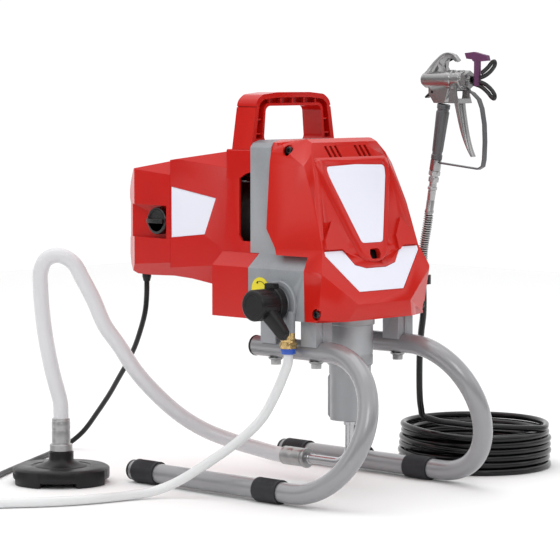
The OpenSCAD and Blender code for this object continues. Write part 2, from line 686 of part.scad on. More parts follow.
module strainer() color("black") translate(strainer_at) difference() {
    union() {
        rod_z(16, 24, 41.1);
        rod_z(63, 6, 20);
        translate([0, 0, 20]) cylinder(r1 = 63, r2 = 58, h = 2.5);
        translate([0, 0, 22]) cylinder(r1 = 26, r2 = 16, h = 7);
        for (a = [0 : 90 : 270]) rotate([0, 0, a - 22]) rotate_extrude(angle = 44)
            translate([46, 0]) square([17, 7]);
    }
    rod_z(46, -1, 17);
}

// ---- paint hose ----

module hose_nut() color("silver") on_base() toward_outlet() difference() {
    translate([0, 0, 36]) union() {
        cylinder(r = 10.8, h = 12, $fn = 6);
        translate([0, 0, 12]) cylinder(r = 6.5, h = 6);
    }
    translate([0, 0, 35]) cylinder(r = 6.65, h = 11.2);
}

module hose_lead() color("black") swept_tube(lead_route, hose_d);
module hose_riser() color("black") swept_tube(riser_route, hose_d);
module hose_coil() color("black") translate(hose_coil_at) rotate_extrude()
    translate([hose_coil_r[0], 0]) square([hose_coil_r[1] - hose_coil_r[0], hose_coil_h]);

// Steel spring round the hose below the gun
module spring_guard() color("gray") {
    guard = [for (i = [0 : 6]) riser_route[i]];
    difference() {
        swept_tube(guard, 12.4, 10);
        swept_tube(concat([guard[0] - heading(guard, 0) * 2], [for (i = [1 : 5]) guard[i]],
            [guard[6] + heading(guard, 6) * 2]), hose_d + 1.3);
    }
}

module down_handle() translate(gun_top) rotate([handle_tilt, 0, 0]) mirror([0, 0, 1]) children();

module hose_ferrule() color("silver") down_handle() translate([0, 0, 108]) {
    cylinder(r = 5.2, h = 34.9);
    cylinder(r = 6.2, h = 4);
}

// Bracket on the casting's flank that grips the hose below its spring guard
module hose_clip() color("black") {
    grip = [riser_route[4][0], riser_route[4][1]];
    difference() {
        union() {
            box([block_w / 2 + 0.02, block_front_y + 1, 249], [block_w / 2 + 3.5, -96, 275]);
            box([block_w / 2 + 0.02, block_front_y + 1, 256], [grip[0] - 4, -116, 268]);
            rod_z(10, 256, 268, grip[0], grip[1]);
        }
        rod_z(6.8, 250, 274, grip[0], grip[1]);
        box([grip[0], grip[1] - 4, 250], [grip[0] + 12, grip[1] + 4, 274]);
    }
    for (z = [253.5, 270.5]) rod_x(4, block_w / 2 + 3.4, block_w / 2 + 6, -103, z);
}

// Hose-side half of the swivel joint under the gun's handle
module gun_swivel() color("silver") down_handle() {
    translate([0, 0, 78]) cylinder(r = 3.95, h = 10);
    translate([0, 0, 87.5]) cylinder(r = 7.4, h = 14, $fn = 6);
    translate([0, 0, 101.4]) cylinder(r = 5, h = 6.5);
}

// ---- gun ----

module at_gun() translate([gun_x, 0, 0]) children();

module gun_body() color("silver") at_gun() difference() {
    union() {
        rod_y(11, -200, -136, 0, spray_z);
        rod_y(8.5, -136, -131.5, 0, spray_z);
        translate([0, -200, spray_z]) rotate([90, 30, 0]) cylinder(r = 11.8, h = 7, $fn = 6);
        rod_y(6, -211, -206.9, 0, spray_z);
        along_x(-7.5, 7.5) polygon([[-178, 513], [-171, 489], [-169, 488], [-153, 488], [-144, 500],
            [-144, 513]]);
        rod_x(5, -10.9, 10.9, trigger_at[0], trigger_at[1]);
        along_x(-4, 4) polygon([[-140, 524], [-156, 543], [-165, 550], [-174, 551.5], [-182, 549],
            [-189, 542], [-186, 540], [-180, 544], [-174, 544.5], [-169, 540], [-168, 534], [-174, 524]]);
    }
    rod_y(2.55, -210, -130, 0, spray_z);
    rod_y(4.5, -212, -196, 0, spray_z);
    rod_x(2.02, -12, 12, trigger_at[0], trigger_at[1]);
    rod_x(2.05, -8, 8, lock_at[0], lock_at[1]);
    box([-4, lock_at[0] - 6, 489.5], [4, -140, 506]);
    translate([0, gun_top[1], gun_top[2]]) rotate([handle_tilt, 0, 0]) rod_z(5, -4, 8.1);
}

module gun_handle() color("gray") down_handle() difference() {
    union() {
        translate([0, 0, 1.5]) cylinder(r1 = 8.2, r2 = 6.4, h = 72);
        translate([0, 0, -8]) cylinder(r = 4.95, h = 10);
        translate([0, 0, 73]) cylinder(r = 7.6, h = 14, $fn = 6);
    }
    translate([0, 0, 60]) cylinder(r = 4, h = 30);
}

module gun_needle() color("silver") at_gun() rod_y(2.5, -196, -128.5, 0, spray_z);

module trigger() color("silver") at_gun() difference() {
    union() {
        both_sides() along_x(11.3, 13.3) polygon([[-183, 513], [-197, 513], [-201, 488], [-181, 488]]);
        along_x(-13.3, 13.3) polygon([[-201, 488], [-200, 494], [-184, 494], [-181, 488]]);
        along_x(-6.5, 6.5) polygon([[-201, 489], [-181, 489], [-188, 470], [-195, 450], [-203, 432],
            [-211, 420.5], [-214.5, 422], [-210, 434], [-206, 450], [-203, 468]]);
    }
    rod_x(2.06, -15, 15, trigger_at[0], trigger_at[1]);
}

module trigger_pin() color("gray") at_gun() rod_x(2, -14.5, 14.5, trigger_at[0], trigger_at[1]);

module trigger_guard() color("gray") at_gun() along_x(-4, 4)
    strip([[-203, 507.5], [-205, 503.5], [-212, 501], [-222, 493], [-227, 482], [-231, 462], [-232, 440],
        [-231, 418], [-229, 409.5], [-222, 406], [-200, 408], [-159, 412]], 2);

module trigger_lock() color("black") at_gun() {
    rod_x(2, -7, 7, lock_at[0], lock_at[1]);
    along_x(-3.7, 3.7) polygon([[-154, 500.5], [-152, 505], [-147, 504.5], [-139, 499.5], [-134, 495.5],
        [-135.5, 494], [-147, 498.5]]);
}

module tip_wing(up) translate([0, 0, spray_z]) along_x(-3, 3) difference() {
    offset(r = 5) polygon([[-222, 9 * up], [-243.5, 15 * up], [-244, 17 * up], [-222, 13 * up]]);
    offset(r = 2) polygon([[-229, 12 * up], [-243, 15.5 * up], [-229, 13 * up]]);
}

module tip_guard() color("black") at_gun() difference() {
    union() {
        rod_y(12.5, -217, -207.1, 0, spray_z);
        box([-7, tip_y - 7, spray_z - 11], [7, tip_y + 3, spray_z + 13]);
        tip_wing(1);
        tip_wing(-1);
    }
    rod_z(4.55, spray_z - 8, spray_z + 30, 0, tip_y);
    rod_y(3, -240, -206, 0, spray_z);
    rod_y(6.06, -211.3, -206, 0, spray_z);
}

module spray_tip() color("purple") at_gun() {
    rod_z(4.5, spray_z - 7.9, 541, 0, tip_y);
    along_x(-3, 3) polygon([[-203, 544], [-200, 551], [-215, 552.5], [-236, 548], [-238, 541.5],
        [-224, 540.5], [-214, 540.5], [-212, 543]]);
}

left_runner();
right_runner();
foot_pads();
tube_caps();
stand_fasteners();
gearbox_frame();
front_cover();
window_panel();
vee_panel();
rear_housing();
carry_handle();
tail_cap();
side_panels();
cover_screws();
motor_can();
armature();
motor_fan();
ball_bearings();
drive_gear();
piston_yoke();
pump_cylinder();
pump_body();
packing_nut();
intake_seat();
intake_ball();
inlet_pipe();
outlet_fitting();
valve_stem();
prime_knob();
flow_decal();
drain_fitting();
drain_collet();
pressure_knob();
control_board();
power_switch();
cord_gland();
power_cord();
cord_coil();
mains_plug();
suction_hose();
crimp_sleeves();
strainer();
return_tube();
hose_nut();
hose_lead();
hose_coil();
hose_riser();
spring_guard();
hose_ferrule();
hose_clip();
gun_swivel();
gun_body();
gun_handle();
gun_needle();
trigger();
trigger_pin();
trigger_guard();
trigger_lock();
tip_guard();
spray_tip();
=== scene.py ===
"""Airless paint sprayer: camera, cords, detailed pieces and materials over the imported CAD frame."""
import bpy, bmesh, math
from mathutils import Vector, Matrix

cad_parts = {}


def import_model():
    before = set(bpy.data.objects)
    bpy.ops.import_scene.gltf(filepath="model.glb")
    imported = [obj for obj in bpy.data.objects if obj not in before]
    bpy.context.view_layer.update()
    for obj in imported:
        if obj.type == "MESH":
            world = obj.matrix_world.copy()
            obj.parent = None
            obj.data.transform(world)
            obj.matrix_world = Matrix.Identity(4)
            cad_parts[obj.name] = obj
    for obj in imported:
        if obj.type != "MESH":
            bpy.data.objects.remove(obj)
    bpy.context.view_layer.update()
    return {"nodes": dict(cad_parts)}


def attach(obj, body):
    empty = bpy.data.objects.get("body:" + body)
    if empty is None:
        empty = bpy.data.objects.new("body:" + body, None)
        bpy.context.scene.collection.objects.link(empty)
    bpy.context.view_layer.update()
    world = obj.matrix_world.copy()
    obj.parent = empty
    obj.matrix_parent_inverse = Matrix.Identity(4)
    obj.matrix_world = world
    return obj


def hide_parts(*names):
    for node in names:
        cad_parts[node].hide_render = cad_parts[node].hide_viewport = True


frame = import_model()
NODES = frame["nodes"]
V = Vector
MM = 0.001
BASE_Z = 221.52          # underside of the gearbox casting, in mm

# ---------------------------------------------------------------- camera, light and floor
CAMERA_AIM = V((-0.0096, 0.0020, 0.2611))
cam_data = bpy.data.cameras.new("camera")
cam_data.sensor_width = 36
cam_data.lens = 176.86
cam_data.clip_end = 30
cam = bpy.data.objects.new("camera", cam_data)
bpy.context.scene.collection.objects.link(cam)
cam.location = (-2.5192, -2.4617, 0.5423)
cam.rotation_euler = (CAMERA_AIM - cam.location).to_track_quat("-Z", "Y").to_euler()
bpy.context.scene.camera = cam


def area_light(name, loc, target, size, power):
    d = bpy.data.lights.new(name, "AREA")
    d.shape = "RECTANGLE"
    d.size, d.size_y = size
    d.energy = power
    o = bpy.data.objects.new(name, d)
    o.location = loc
    o.rotation_euler = (V(target) - V(loc)).to_track_quat("-Z", "Y").to_euler()
    bpy.context.scene.collection.objects.link(o)


area_light("key", (-1.9, -2.3, 1.9), (0, 0, 0.2), (1.3, 1.3), 11)
area_light("left_fill", (-2.6, 0.8, 1.0), (0, 0, 0.25), (1.4, 1.6), 4)
area_light("right_fill", (1.9, -2.1, 1.2), (0, 0, 0.25), (0.7, 1.6), 3)
area_light("top", (0.1, 0.3, 2.4), (0, 0, 0.1), (2.2, 2.2), 14)
world = bpy.data.worlds.new("studio")
world.use_nodes = True
# white above and behind the machine, a dimmer room at its sides
wn = world.node_tree
where = wn.nodes.new("ShaderNodeTexCoord")
facing = wn.nodes.new("ShaderNodeVectorMath")
facing.operation = "DOT_PRODUCT"
facing.inputs[1].default_value = (0.70, 0.70, 0.0)
wn.links.new(where.outputs["Generated"], facing.inputs[0])
split = wn.nodes.new("ShaderNodeSeparateXYZ")
wn.links.new(where.outputs["Generated"], split.inputs[0])


def ramp_between(source, p0, c0, p1, c1):
    """Eased grey ramp from c0 at p0 to c1 at p1, a touch blue."""
    r = wn.nodes.new("ShaderNodeValToRGB")
    r.color_ramp.interpolation = "EASE"
    for e, p, c in zip(r.color_ramp.elements, (p0, p1), (c0, c1)):
        e.position = p
        e.color = (c, c, c * 1.01, 1)
    wn.links.new(source, r.inputs[0])
    return r


round_room = ramp_between(facing.outputs["Value"], 0.05, 0.26, 0.6, 1.04)
overhead = ramp_between(split.outputs["Z"], 0.16, 0.0, 0.6, 1.0)
mix = wn.nodes.new("ShaderNodeMixRGB")
mix.inputs[2].default_value = (1.1, 1.1, 1.1, 1)
for source, target in ((overhead.outputs[0], mix.inputs[0]), (round_room.outputs[0], mix.inputs[1]),
                       (mix.outputs[0], wn.nodes["Background"].inputs[0])):
    wn.links.new(source, target)
bpy.context.scene.world = world
bpy.context.scene.view_settings.view_transform = "Standard"


# ---------------------------------------------------------------- materials
def new_material(name):
    m = bpy.data.materials.new(name)
    m.use_nodes = True
    nt = m.node_tree
    return m, nt, nt.nodes["Principled BSDF"]


def noise(nt, vector, scale, detail):
    """Noise of a given scale per metre."""
    n = nt.nodes.new("ShaderNodeTexNoise")
    n.inputs["Scale"].default_value = scale
    n.inputs["Detail"].default_value = detail
    nt.links.new(vector, n.inputs["Vector"])
    return n.outputs["Fac"]


def remap(nt, source, *limits):
    """Maps a value from the first two limits to the last two."""
    r = nt.nodes.new("ShaderNodeMapRange")
    for i, limit in enumerate(limits, 1):
        r.inputs[i].default_value = limit
    nt.links.new(source, r.inputs[0])
    return r.outputs[0]


def mixed(nt, factor, under, colour):
    """Lays a plain colour over another by a factor."""
    m = nt.nodes.new("ShaderNodeMixRGB")
    m.inputs[2].default_value = (*colour, 1)
    nt.links.new(factor, m.inputs[0])
    nt.links.new(under, m.inputs[1])
    return m.outputs[0]


def surface(name, colour, rough, metallic=0.0, vary=0.12, var_scale=14.0, rough_vary=0.08, grain=0.0,
            grain_scale=900.0, edge_wear_and_highlight=0.0, edge_wear_and_highlight_colour=(0.6, 0.6, 0.6), coat=0.0, spec=0.5, stretch=(1, 1, 1),
            dust=0.0):
    """Procedural finish: colour and gloss vary slowly, a fine grain lifts the surface, sharp outer edges may
    take a lighter colour (a painted edge highlight on the red shell).
    """
    m, nt, bsdf = new_material(name)
    tc = nt.nodes.new("ShaderNodeTexCoord")
    mp = nt.nodes.new("ShaderNodeMapping")
    mp.inputs["Scale"].default_value = stretch
    nt.links.new(tc.outputs["Object"], mp.inputs[0])
    ramp = nt.nodes.new("ShaderNodeValToRGB")
    for end, position, shift in zip(ramp.color_ramp.elements, (0.3, 0.7), (1 - vary, 1 + vary)):
        end.position = position
        end.color = (*[max(0, min(1, c * shift)) for c in colour], 1)
    nt.links.new(noise(nt, mp.outputs[0], var_scale, 5), ramp.inputs[0])
    shade = ramp.outputs[0]
    if dust:
        specks = remap(nt, noise(nt, tc.outputs["Object"], var_scale * 22, 3), 0.52, 0.72, 0.0, dust)
        shade = mixed(nt, specks, shade, [min(1, c * 0.5 + 0.4) for c in colour])
    # sharp outer edges blend towards a lighter colour by pointiness; on the red shell this is a painted edge
    # highlight
    if edge_wear_and_highlight:
        geo = nt.nodes.new("ShaderNodeNewGeometry")
        shade = mixed(nt, remap(nt, geo.outputs["Pointiness"], 0.54, 0.66, 0.0, edge_wear_and_highlight), shade, edge_wear_and_highlight_colour)
    nt.links.new(shade, bsdf.inputs["Base Color"])
    gloss = remap(nt, noise(nt, mp.outputs[0], var_scale * 3.1, 4), 0.3, 0.7,
                  max(0.02, rough - rough_vary), min(1.0, rough + rough_vary))
    nt.links.new(gloss, bsdf.inputs["Roughness"])
    bsdf.inputs["Metallic"].default_value = metallic
    bsdf.inputs["Specular IOR Level"].default_value = spec
    bsdf.inputs["Coat Weight"].default_value = coat
    bsdf.inputs["Coat Roughness"].default_value = 0.12
    if grain:
        bump = nt.nodes.new("ShaderNodeBump")
        bump.inputs["Strength"].default_value = grain
        bump.inputs["Distance"].default_value = 0.0004
        nt.links.new(noise(nt, mp.outputs[0], grain_scale, 2), bump.inputs["Height"])
        nt.links.new(bump.outputs[0], bsdf.inputs["Normal"])
    return m


# the red shell's lighter pink-red sharp edges are a painted edge highlight
RED = surface("red_shell", (0.56, 0.0065, 0.003), 0.2, vary=0.04, rough_vary=0.02, grain=0.04,
              grain_scale=1500, edge_wear_and_highlight=0.1, edge_wear_and_highlight_colour=(0.75, 0.1, 0.07), spec=0.3)
CAST = surface("grey_casting", (0.30, 0.315, 0.335), 0.5, metallic=0.15, vary=0.07, var_scale=30, grain=0.7,
               grain_scale=1100, dust=0.16, edge_wear_and_highlight=0.3, edge_wear_and_highlight_colour=(0.52, 0.53, 0.55))
TUBE = surface("grey_tube_coat", (0.31, 0.31, 0.322), 0.25, metallic=0.25, vary=0.03, var_scale=9, coat=0.4,
               rough_vary=0.008)
RUBBER = surface("foot_rubber", (0.026, 0.026, 0.03), 0.62, vary=0.12, grain=0.4, grain_scale=1100, spec=0.3)
BLACK = surface("black_moulding", (0.009, 0.009, 0.01), 0.36, vary=0.2, grain=0.2, grain_scale=1100, spec=0.3)
BLACK_GLOSS = surface("black_gloss_moulding", (0.008, 0.008, 0.009), 0.26, vary=0.2, grain=0.12,
                      grain_scale=900, coat=0.15)
ZINC = surface("zinc_plate", (0.42, 0.42, 0.42), 0.32, metallic=0.8, vary=0.05, var_scale=40,
               rough_vary=0.015, stretch=(1, 1, 3))
CHROME = surface("bright_plate", (0.5, 0.505, 0.52), 0.22, metallic=0.9, vary=0.04, var_scale=40,
                 rough_vary=0.015)
ALU = surface("blasted_aluminium", (0.40, 0.41, 0.425), 0.42, metallic=0.75, vary=0.06, var_scale=25,
              grain=0.5, grain_scale=1500, rough_vary=0.06)
GUN = surface("gun_casting", (0.34, 0.335, 0.335), 0.24, metallic=0.85, vary=0.06, var_scale=45,
              rough_vary=0.02)
GUN_DARK = surface("gun_handle_coat", (0.105, 0.105, 0.11), 0.4, metallic=0.35, vary=0.08, var_scale=40,
                   rough_vary=0.02)
WHITE = surface("white_film", (0.86, 0.87, 0.97), 0.34, vary=0.01, rough_vary=0.01)
NYLON = surface("white_nylon", (0.75, 0.75, 0.72), 0.45, vary=0.04, grain=0.2)
BRASS = surface("brass", (0.63, 0.44, 0.19), 0.25, metallic=1.0, vary=0.12, var_scale=70, rough_vary=0.1)
YELLOW = surface("yellow_film", (0.86, 0.72, 0.02), 0.35, vary=0.03)
BLUE = surface("blue_moulding", (0.03, 0.10, 0.50), 0.3, vary=0.06, grain=0.1)
GREEN = surface("board_lacquer", (0.02, 0.2, 0.07), 0.35, vary=0.15, var_scale=80)
COPPER = surface("windings", (0.48, 0.2, 0.08), 0.32, metallic=0.9, vary=0.3, var_scale=200,
                 stretch=(1, 12, 1), grain=0.5)
PURPLE = surface("purple_moulding", (0.12, 0.03, 0.1), 0.36, vary=0.08, grain=0.2)
CORD = surface("cord_jacket", (0.008, 0.008, 0.009), 0.34, vary=0.15, grain=0.1, grain_scale=900, spec=0.3)
HOSE_BLACK = surface("paint_hose_jacket", (0.004, 0.004, 0.005), 0.2, vary=0.2, grain=0.05, grain_scale=700,
                     spec=0.4)
HOSE_CLEAR = surface("suction_hose_wall", (0.70, 0.70, 0.72), 0.24, vary=0.02, var_scale=12, coat=0.3,
                     rough_vary=0.02)
TUBE_CLEAR = surface("return_tube_wall", (0.76, 0.77, 0.775), 0.2, vary=0.02, var_scale=12, coat=0.35,
                     rough_vary=0.02)


# ---------------------------------------------------------------- mesh helpers
def linked(name, bm):
    """Turns a bmesh into a linked object, its faces turned outwards."""
    me = bpy.data.meshes.new(name)
    bmesh.ops.recalc_face_normals(bm, faces=bm.faces)
    bm.to_mesh(me)
    bm.free()
    o = bpy.data.objects.new(name, me)
    bpy.context.scene.collection.objects.link(o)
    return o


def reshade(o, angle):
    o.data.shade_smooth()
    o.data.set_sharp_from_angle(angle=math.radians(angle))


def obj(name, bm, material, body="machine", angle=35):
    """Links a bmesh, shades it and rides it on a body."""
    o = linked(name, bm)
    o.data.materials.append(material)
    reshade(o, angle)
    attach(o, body)
    return o


def stand_in(name, bm, material, node, body="machine", angle=35):
    """A piece that takes a CAD node's place."""
    o = obj(name, bm, material, body, angle)
    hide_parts(node)
    return o


def bake(o):
    """Applies an object's modifiers to its mesh."""
    dg = bpy.context.evaluated_depsgraph_get()
    me = bpy.data.meshes.new_from_object(o.evaluated_get(dg), preserve_all_data_layers=True, depsgraph=dg)
    o.modifiers.clear()
    old = o.data
    o.data = me
    bpy.data.meshes.remove(old)


def bevelled(o, width, segments, angle=30, harden=True):
    """Rounds an object's edges sharper than an angle."""
    b = o.modifiers.new("edges", "BEVEL")
    b.width = width
    b.segments = segments
    b.limit_method = "ANGLE"
    b.angle_limit = math.radians(angle)
    b.harden_normals = harden
    b.miter_outer = "MITER_ARC"
    b.use_clamp_overlap = True
    return o


def raw(node):
    """A CAD node's own shape as a welded bmesh."""
    bm = bmesh.new()
    bm.from_mesh(NODES[node].data)
    bmesh.ops.remove_doubles(bm, verts=bm.verts, dist=1e-6)
    return bm


def flatten(bm):
    """Merges the faces that lie in one plane."""
    bmesh.ops.dissolve_limit(bm, angle_limit=math.radians(1.2), verts=bm.verts, edges=bm.edges)


def refined(node, material, body, width, segments, angle, name):
    """A CAD node's own shape with rounded edges."""
    bm = raw(node)
    flatten(bm)
    bevelled(stand_in(name + "_body", bm, material, node, body, angle), width, segments, angle)


def dress(node, material, width):
    """Keeps a CAD node, with a finish and, where its edges show, a small rounding."""
    o = NODES[node]
    o.data.materials.clear()
    o.data.materials.append(material)
    if width:
        bevelled(o, width, 2, harden=False)


def mm(profile):
    """A profile given in mm."""
    return [(a * MM, b * MM) for a, b in profile]


def loft(rings, caps=True, bm=None):
    """Skin through rings of equal point counts."""
    bm = bm or bmesh.new()
    rows = [[bm.verts.new(p) for p in ring] for ring in rings]
    n = len(rings[0])
    for a, b in zip(rows, rows[1:]):
        for i in range(n):
            j = (i + 1) % n
            bm.faces.new((a[i], a[j], b[j], b[i]))
    if caps:
        bm.faces.new(rows[0][::-1])
        bm.faces.new(rows[-1])
    return bm


def basis(axis):
    """Two directions across an axis, and the axis itself, as unit vectors."""
    t = V(axis).normalized()
    u = t.cross(V((0, 0, 1)) if abs(t.z) < 0.9 else V((1, 0, 0))).normalized()
    return u, t.cross(u).normalized(), t


def lathe(profile, origin, axis, segments=48, bm=None):
    """Turned solid: profile is (distance along the axis, radius) from one end to the other."""
    u, w, t = basis(axis)
    o = V(origin)
    rings = []
    for d, r in profile:
        r = max(r, 1e-5)
        rings.append([o + t * d + u * (r * math.cos(a)) + w * (r * math.sin(a))
                      for a in (i * 2 * math.pi / segments for i in range(segments))])
    return loft(rings, bm=bm)


def hexagon(r, d0, d1, origin, axis, chamfer, bm=None, turn=0.0):
    """Hexagonal nut body with turned corners at both ends."""
    u, w, t = basis(axis)
    o = V(origin)
    rings = []
    for d, k in ((d0, 0), (d0 + chamfer, 1), (d1 - chamfer, 1), (d1, 0)):
        ring = []
        for i in range(36):
            a = turn + i * math.pi / 18
            local = (a - turn) % (math.pi / 3)
            edge = r * math.cos(math.pi / 6) / math.cos(local - math.pi / 6)
            e = edge if k else min(edge, r * 0.92)
            ring.append(o + t * d + u * (e * math.cos(a)) + w * (e * math.sin(a)))
        rings.append(ring)
    return loft(rings, bm=bm)


def catmull(points, per):
    """Smooth line through points, with per steps between each two, as a list of vectors."""
    p = [V(q) for q in points]
    n = len(p)
    out = []
    for i in range(n - 1):
        a = p[i - 1] if i else p[0] * 2 - p[1]
        b, c = p[i], p[i + 1]
        d = p[i + 2] if i + 2 < n else p[-1] * 2 - p[-2]
        ta = max((b - a).length, 1e-9) ** 0.5
        tb = max((c - b).length, 1e-9) ** 0.5
        tc = max((d - c).length, 1e-9) ** 0.5
        t0, t1, t2, t3 = 0, ta, ta + tb, ta + tb + tc
        for k in range(per):
            t = t1 + (t2 - t1) * k / per
            a1 = a * ((t1 - t) / (t1 - t0)) + b * ((t - t0) / (t1 - t0))
            a2 = b * ((t2 - t) / (t2 - t1)) + c * ((t - t1) / (t2 - t1))
            a3 = c * ((t3 - t) / (t3 - t2)) + d * ((t - t2) / (t3 - t2))
            b1 = a1 * ((t2 - t) / (t2 - t0)) + a2 * ((t - t0) / (t2 - t0))
            b2 = a2 * ((t3 - t) / (t3 - t1)) + a3 * ((t - t1) / (t3 - t1))
            out.append(b1 * ((t2 - t) / (t2 - t1)) + b2 * ((t - t1) / (t2 - t1)))
    out.append(p[-1])
    return out


def length_of(line):
    return sum((b - a).length for a, b in zip(line, line[1:]))


def resample(line, step):
    """The same line with points a fixed distance apart."""
    total = length_of(line)
    count = max(2, int(round(total / step)))
    step = total / count
    out, acc, want = [line[0].copy()], 0.0, step
    for a, b in zip(line, line[1:]):
        d = (b - a).length
        while d > 0 and acc + d >= want - 1e-12 and len(out) < count:
            out.append(a.lerp(b, (want - acc) / d))
            want += step
        acc += d
    out.append(line[-1].copy())
    return out


def sweep(line, radius, sides, bm=None):
    """Tube along a line with frames carried along it; radius may be a function of (index, angle)."""
    bm = bm or bmesh.new()
    n = len(line)
    tangents = [(line[min(i + 1, n - 1)] - line[max(i - 1, 0)]).normalized() for i in range(n)]
    u = basis(tangents[0])[0]
    rings = []
    for i in range(n):
        t = tangents[i]
        u = (u - t * u.dot(t)).normalized()
        w = t.cross(u)
        ring = []
        for k in range(sides):
            a = k * 2 * math.pi / sides
            r = radius(i, a) if callable(radius) else radius
            ring.append(line[i] + u * (r * math.cos(a)) + w * (r * math.sin(a)))
        rings.append(ring)
    return loft(rings, bm=bm)


# ---------------------------------------------------------------- hoses and cord
MAINS_D, SUCTION_D, RETURN_D, HOSE_D = 0.007, 0.020, 0.012, 0.0085
cord_route = [(-45, 215, 250), (-45, 215, 240), (-42, 220, 217), (-37, 231, 196), (-24, 265, 152),
              (-11, 303, 118), (2, 344, 82), (11, 388, 44), (11, 404, 28), (6, 416, 16), (-4, 421, 8.2),
              (-15, 418.5, 4.7), (-28, 412.5, 3.7), (-137, 348, 3.7), (-203, 311, 3.7), (-275, 267, 3.7),
              (-310, 258.5, 3.7)]
plug_route = [(-328, 346, 14), (-312, 350, 16), (-300, 350, 16)]
suction_route = [(0, 2, 34), (0, 18, 34), (-6, 40, 38), (-24, 70, 47), (-50, 99, 62), (-78, 117, 83),
                 (-108, 132, 113), (-133, 143, 144), (-152, 152, 176), (-167, 163, 203), (-178, 172, 236),
                 (-188, 180, 261), (-198, 189, 284), (-211, 200, 293), (-223, 210, 289), (-229, 215, 275),
                 (-229, 216, 250), (-226, 213, 200), (-219, 207, 147), (-210.5, 200.5, 104),
                 (-210, 200, 93.5), (-210, 200, 83)]
return_route = [(-101, -102, 180.5), (-101, -102, 171), (-103.5, -97, 155), (-110, -88, 129),
                (-121, -76, 100), (-139, -56, 73), (-178, -13, 32), (-196, 4, 18), (-218, 18, 9.2),
                (-250, 30, 6.3), (-288, 38, 6.2), (-320, 48, 6.2), (-352, 64, 6.2), (-396, 95, 6.2),
                (-425, 115, 6.2)]
lead_route = [(41.4, -77.3, 121.5), (56.7, -64.4, 121.5), (75, -49, 109), (92, -35, 88), (107, -24, 66),
              (122, -14, 46), (138, -6, 33.5), (153, -4, 27), (165, -5, 14), (176, -9, 6.5), (186, -13, 4.3),
              (197, -12, 4.3)]
riser_route = [(118, -139.2, 347), (118, -136.2, 330), (118, -132, 311), (118, -129.5, 292), (119, -129, 262),
               (119.5, -129, 247), (121, -128, 232), (126, -123, 214), (134, -113, 194), (145, -101, 168),
               (152, -94, 147), (164, -84, 105), (171, -80, 88), (179, -79, 74)]


def metres(route):
    return [V(p) * MM for p in route]


def lead_coil():
    """Turns of the mains lead, flat on the floor: two wide and two high."""
    centre = V((-345, 300, 0)) * MM
    out = []
    turns = 3.5
    for i in range(int(turns * 24) + 1):
        t = i / 24
        a = math.radians(-90 - 360 * t)
        k = math.floor(t + 1e-9)
        f = t - k
        move = max(0.0, min(1.0, (f - 0.7) / 0.3))
        move = move * move * (3 - 2 * move)
        radii, heights = (41.5, 34.3, 34.3, 41.5, 41.5), (3.7, 3.7, 10.7, 10.7, 10.7)
        r = radii[k] + (radii[k + 1] - radii[k]) * move if k < 4 else radii[4]
        z = heights[k] + (heights[k + 1] - heights[k]) * move if k < 4 else heights[4]
        out.append(centre + V((r * math.cos(a), r * math.sin(a), z)) * MM)
    return out


def hose_coil():
    """Turns of the paint hose: two wide, seven high, each turn lying a little out of line."""
    centre = V((280, -80, 0)) * MM
    out = []
    start, turns, pts = 138.0, 12.6, 30
    for i in range(int(turns * pts) + 1):
        t = i / pts
        a = math.radians(start - 360 * t)
        k = math.floor(t + 1e-9)
        f = t - k
        move = max(0.0, min(1.0, (f - 0.72) / 0.28))
        move = move * move * (3 - 2 * move)
        level = lambda n: 4.3 + 8.62 * ((n + 1) // 2 if n < 1 else n // 2)
        column = lambda n: 97.5 if n % 4 in (0, 3) else 87.6
        r = column(k) + (column(k + 1) - column(k)) * move
        z = level(k) + (level(k + 1) - level(k)) * move
        sway = 1.2 + 0.9 * math.sin((k // 2) * 1.7)
        r += 2.2 - 0.32 * k
        r += sway * math.sin(2 * a + 1.1 * (k // 2)) + 0.5 * math.sin(3 * a + k // 2)
        out.append(centre + V((r * math.cos(a), r * math.sin(a), z)) * MM)
    return out


def strand(name, line, diameter, material, **facts):
    """A free hose or cord as a swept tube that follows a line."""
    line = resample(line, min(0.006, diameter * 0.55))
    o = obj(name, sweep(line, diameter / 2, 16), material)
    return o, line


mains = catmull(metres(cord_route), 8)[:-1] + lead_coil()
mains = catmull(mains[:len(mains) - 84][::6] + mains[len(mains) - 84:][::2] + metres(plug_route), 6)
hose = catmull(metres(lead_route) + hose_coil()[::2] + [V(p) * MM for p in reversed(riser_route)], 5)
suction = catmull(metres(suction_route), 48)
spill = catmull(metres(return_route), 24)


def ribbed(i, a):
    """Spiral-wound hose wall: a low helical rib shows through the smooth skin."""
    return SUCTION_D / 2 - 0.00012 + 0.00012 * math.cos(a - i * 2 * math.pi / 3.0)


power_cord, mains = strand("mains_lead", mains, MAINS_D, CORD, exit=(-0.045, 0.215, 0.250), far_end="plug",
                           stiffness="medium", lay="loose",
                           with_pieces=[NODES["mains_plug"], NODES["cord_gland"]])
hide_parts("power_cord", "cord_coil")
hose = resample(hose, HOSE_D * 0.55)
paint_hose = obj("paint_hose", sweep(hose, HOSE_D / 2, 16), HOSE_BLACK)
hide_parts("hose_lead", "hose_coil", "hose_riser")
return_tube, spill = strand("return_hose", spill, RETURN_D, TUBE_CLEAR, exit=(-0.101, -0.102, 0.1805),
                            far_end="bare", stiffness="medium", lay="loose")
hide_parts("return_tube")
suction = resample(suction, 0.0012)
suction_hose = stand_in("suction_line", sweep(suction, ribbed, 28), HOSE_CLEAR, "suction_hose",
                        angle=60)


# ---------------------------------------------------------------- shells
def box_bm(lo, hi):
    """Box between two corners."""
    bm = bmesh.new()
    bmesh.ops.create_cube(bm, size=1, matrix=Matrix.Translation((V(lo) + V(hi)) / 2)
                          @ Matrix.Diagonal((*[b - a for a, b in zip(lo, hi)], 1)))
    return bm


def prism(outline, place, depth):
    """Extruded outline: place maps (u, v, w) to the row frame, w runs from 0 to depth."""
    return loft([[place(u, v, 0) for u, v in outline], [place(u, v, depth) for u, v in outline]])


